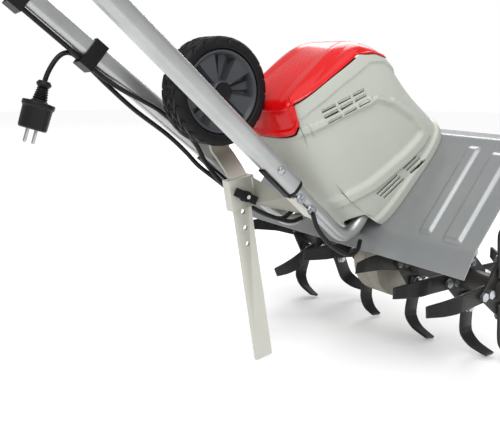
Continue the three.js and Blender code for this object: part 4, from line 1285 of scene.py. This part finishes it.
@dataclass
class Studio:
    """A pale floor, soft light and the camera."""

    eye: tuple = (-0.3787, -0.8587, 0.4512)
    heading: float = math.radians(-34.9)
    pitch: float = math.radians(77.9)
    lens: float = 52.56

    def build_camera(self) -> None:
        """Sets the scene's camera."""
        data = bpy.data.cameras.new("camera")
        data.lens = self.lens
        data.sensor_width = 36
        camera = bpy.data.objects.new("camera", data)
        camera.location = self.eye
        camera.rotation_euler = (self.pitch, 0, self.heading)
        bpy.context.scene.collection.objects.link(camera)
        bpy.context.scene.camera = camera

    def build_floor(self) -> None:
        """A wide disc, lit as pale paper."""
        profile = [(0.1, -0.4), (6000, -0.4), (6000, -4), (0.1, -4)]
        floor = surface("floor", FRAME.row(turned_rows(profile, 64)))
        pale = Finish("pale_floor", "#F4F4F4", "#F2F2F2", 0.7, 0.02, grit=5.0, relief=0.02)
        paper = pale.material()
        shader = paper.node_tree.nodes["Principled BSDF"]
        shader.inputs["Emission Color"].default_value = (1, 1, 1, 1)
        shader.inputs["Emission Strength"].default_value = 0.2
        floor.data.materials.append(paper)

    @staticmethod
    def build_lamp(name: str, place: tuple, aim: tuple, size: float, power: float) -> None:
        """A square soft light, turned towards what it lights.

        Args:
            name: the lamp's name.
            place: where it stands, in metres.
            aim: the point that it faces, in metres.
            size: its side in metres.
            power: in watts.
        """
        data = bpy.data.lights.new(name, "AREA")
        data.size = size
        data.energy = power
        lamp = bpy.data.objects.new(name, data)
        back = np.array(place) - np.array(aim)
        lamp.location = place
        lamp.rotation_euler = (
            math.acos(back[2] / np.linalg.norm(back)), 0, math.atan2(back[1], back[0]) + math.pi / 2)
        bpy.context.scene.collection.objects.link(lamp)

    @staticmethod
    def build_sky(strength: float) -> None:
        """A very wide soft sun from above, which lights the floor evenly to its edge."""
        data = bpy.data.lights.new("sky", "SUN")
        data.energy = strength
        data.angle = math.radians(75)
        lamp = bpy.data.objects.new("sky", data)
        lamp.rotation_euler = (math.radians(24), math.radians(-14), 0)
        bpy.context.scene.collection.objects.link(lamp)

    def build(self) -> None:
        """Builds the stage."""
        self.build_camera()
        self.build_floor()
        self.build_lamp("key", (-0.9, -1.5, 2.3), (0.2, 0, 0.3), 1.3, 24)
        self.build_lamp("back_light", (1.9, 1.5, 2.2), (0.2, 0, 0.3), 1.6, 40)
        self.build_sky(1.3)
        world = bpy.data.worlds.new("studio")
        world.use_nodes = True
        tree = world.node_tree
        tree.nodes.clear()
        seen = add_node(tree, "ShaderNodeLightPath", {}).outputs["Is Camera Ray"]
        power = add_node(tree, "ShaderNodeMapRange", {
            "Value": seen, "To Min": 0.5, "To Max": 1.0,
        }).outputs["Result"]
        backdrop = add_node(tree, "ShaderNodeBackground", {"Color": (1, 1, 1, 1), "Strength": power})
        add_node(tree, "ShaderNodeOutputWorld", {"Surface": backdrop.outputs["Background"]})
        bpy.context.scene.world = world
        bpy.context.scene.view_settings.view_transform = "Standard"


def main() -> None:
    """Builds the stage, the cords and then every sub-assembly."""
    logging.basicConfig(level=logging.INFO)
    Studio().build()
    for assembly in (Leads(), DeckPlate(), Hood(), HandleTubes(), Rotor(), TransportWheel(), KeptParts()):
        assembly.build()


if __name__ == "__main__":
    main()
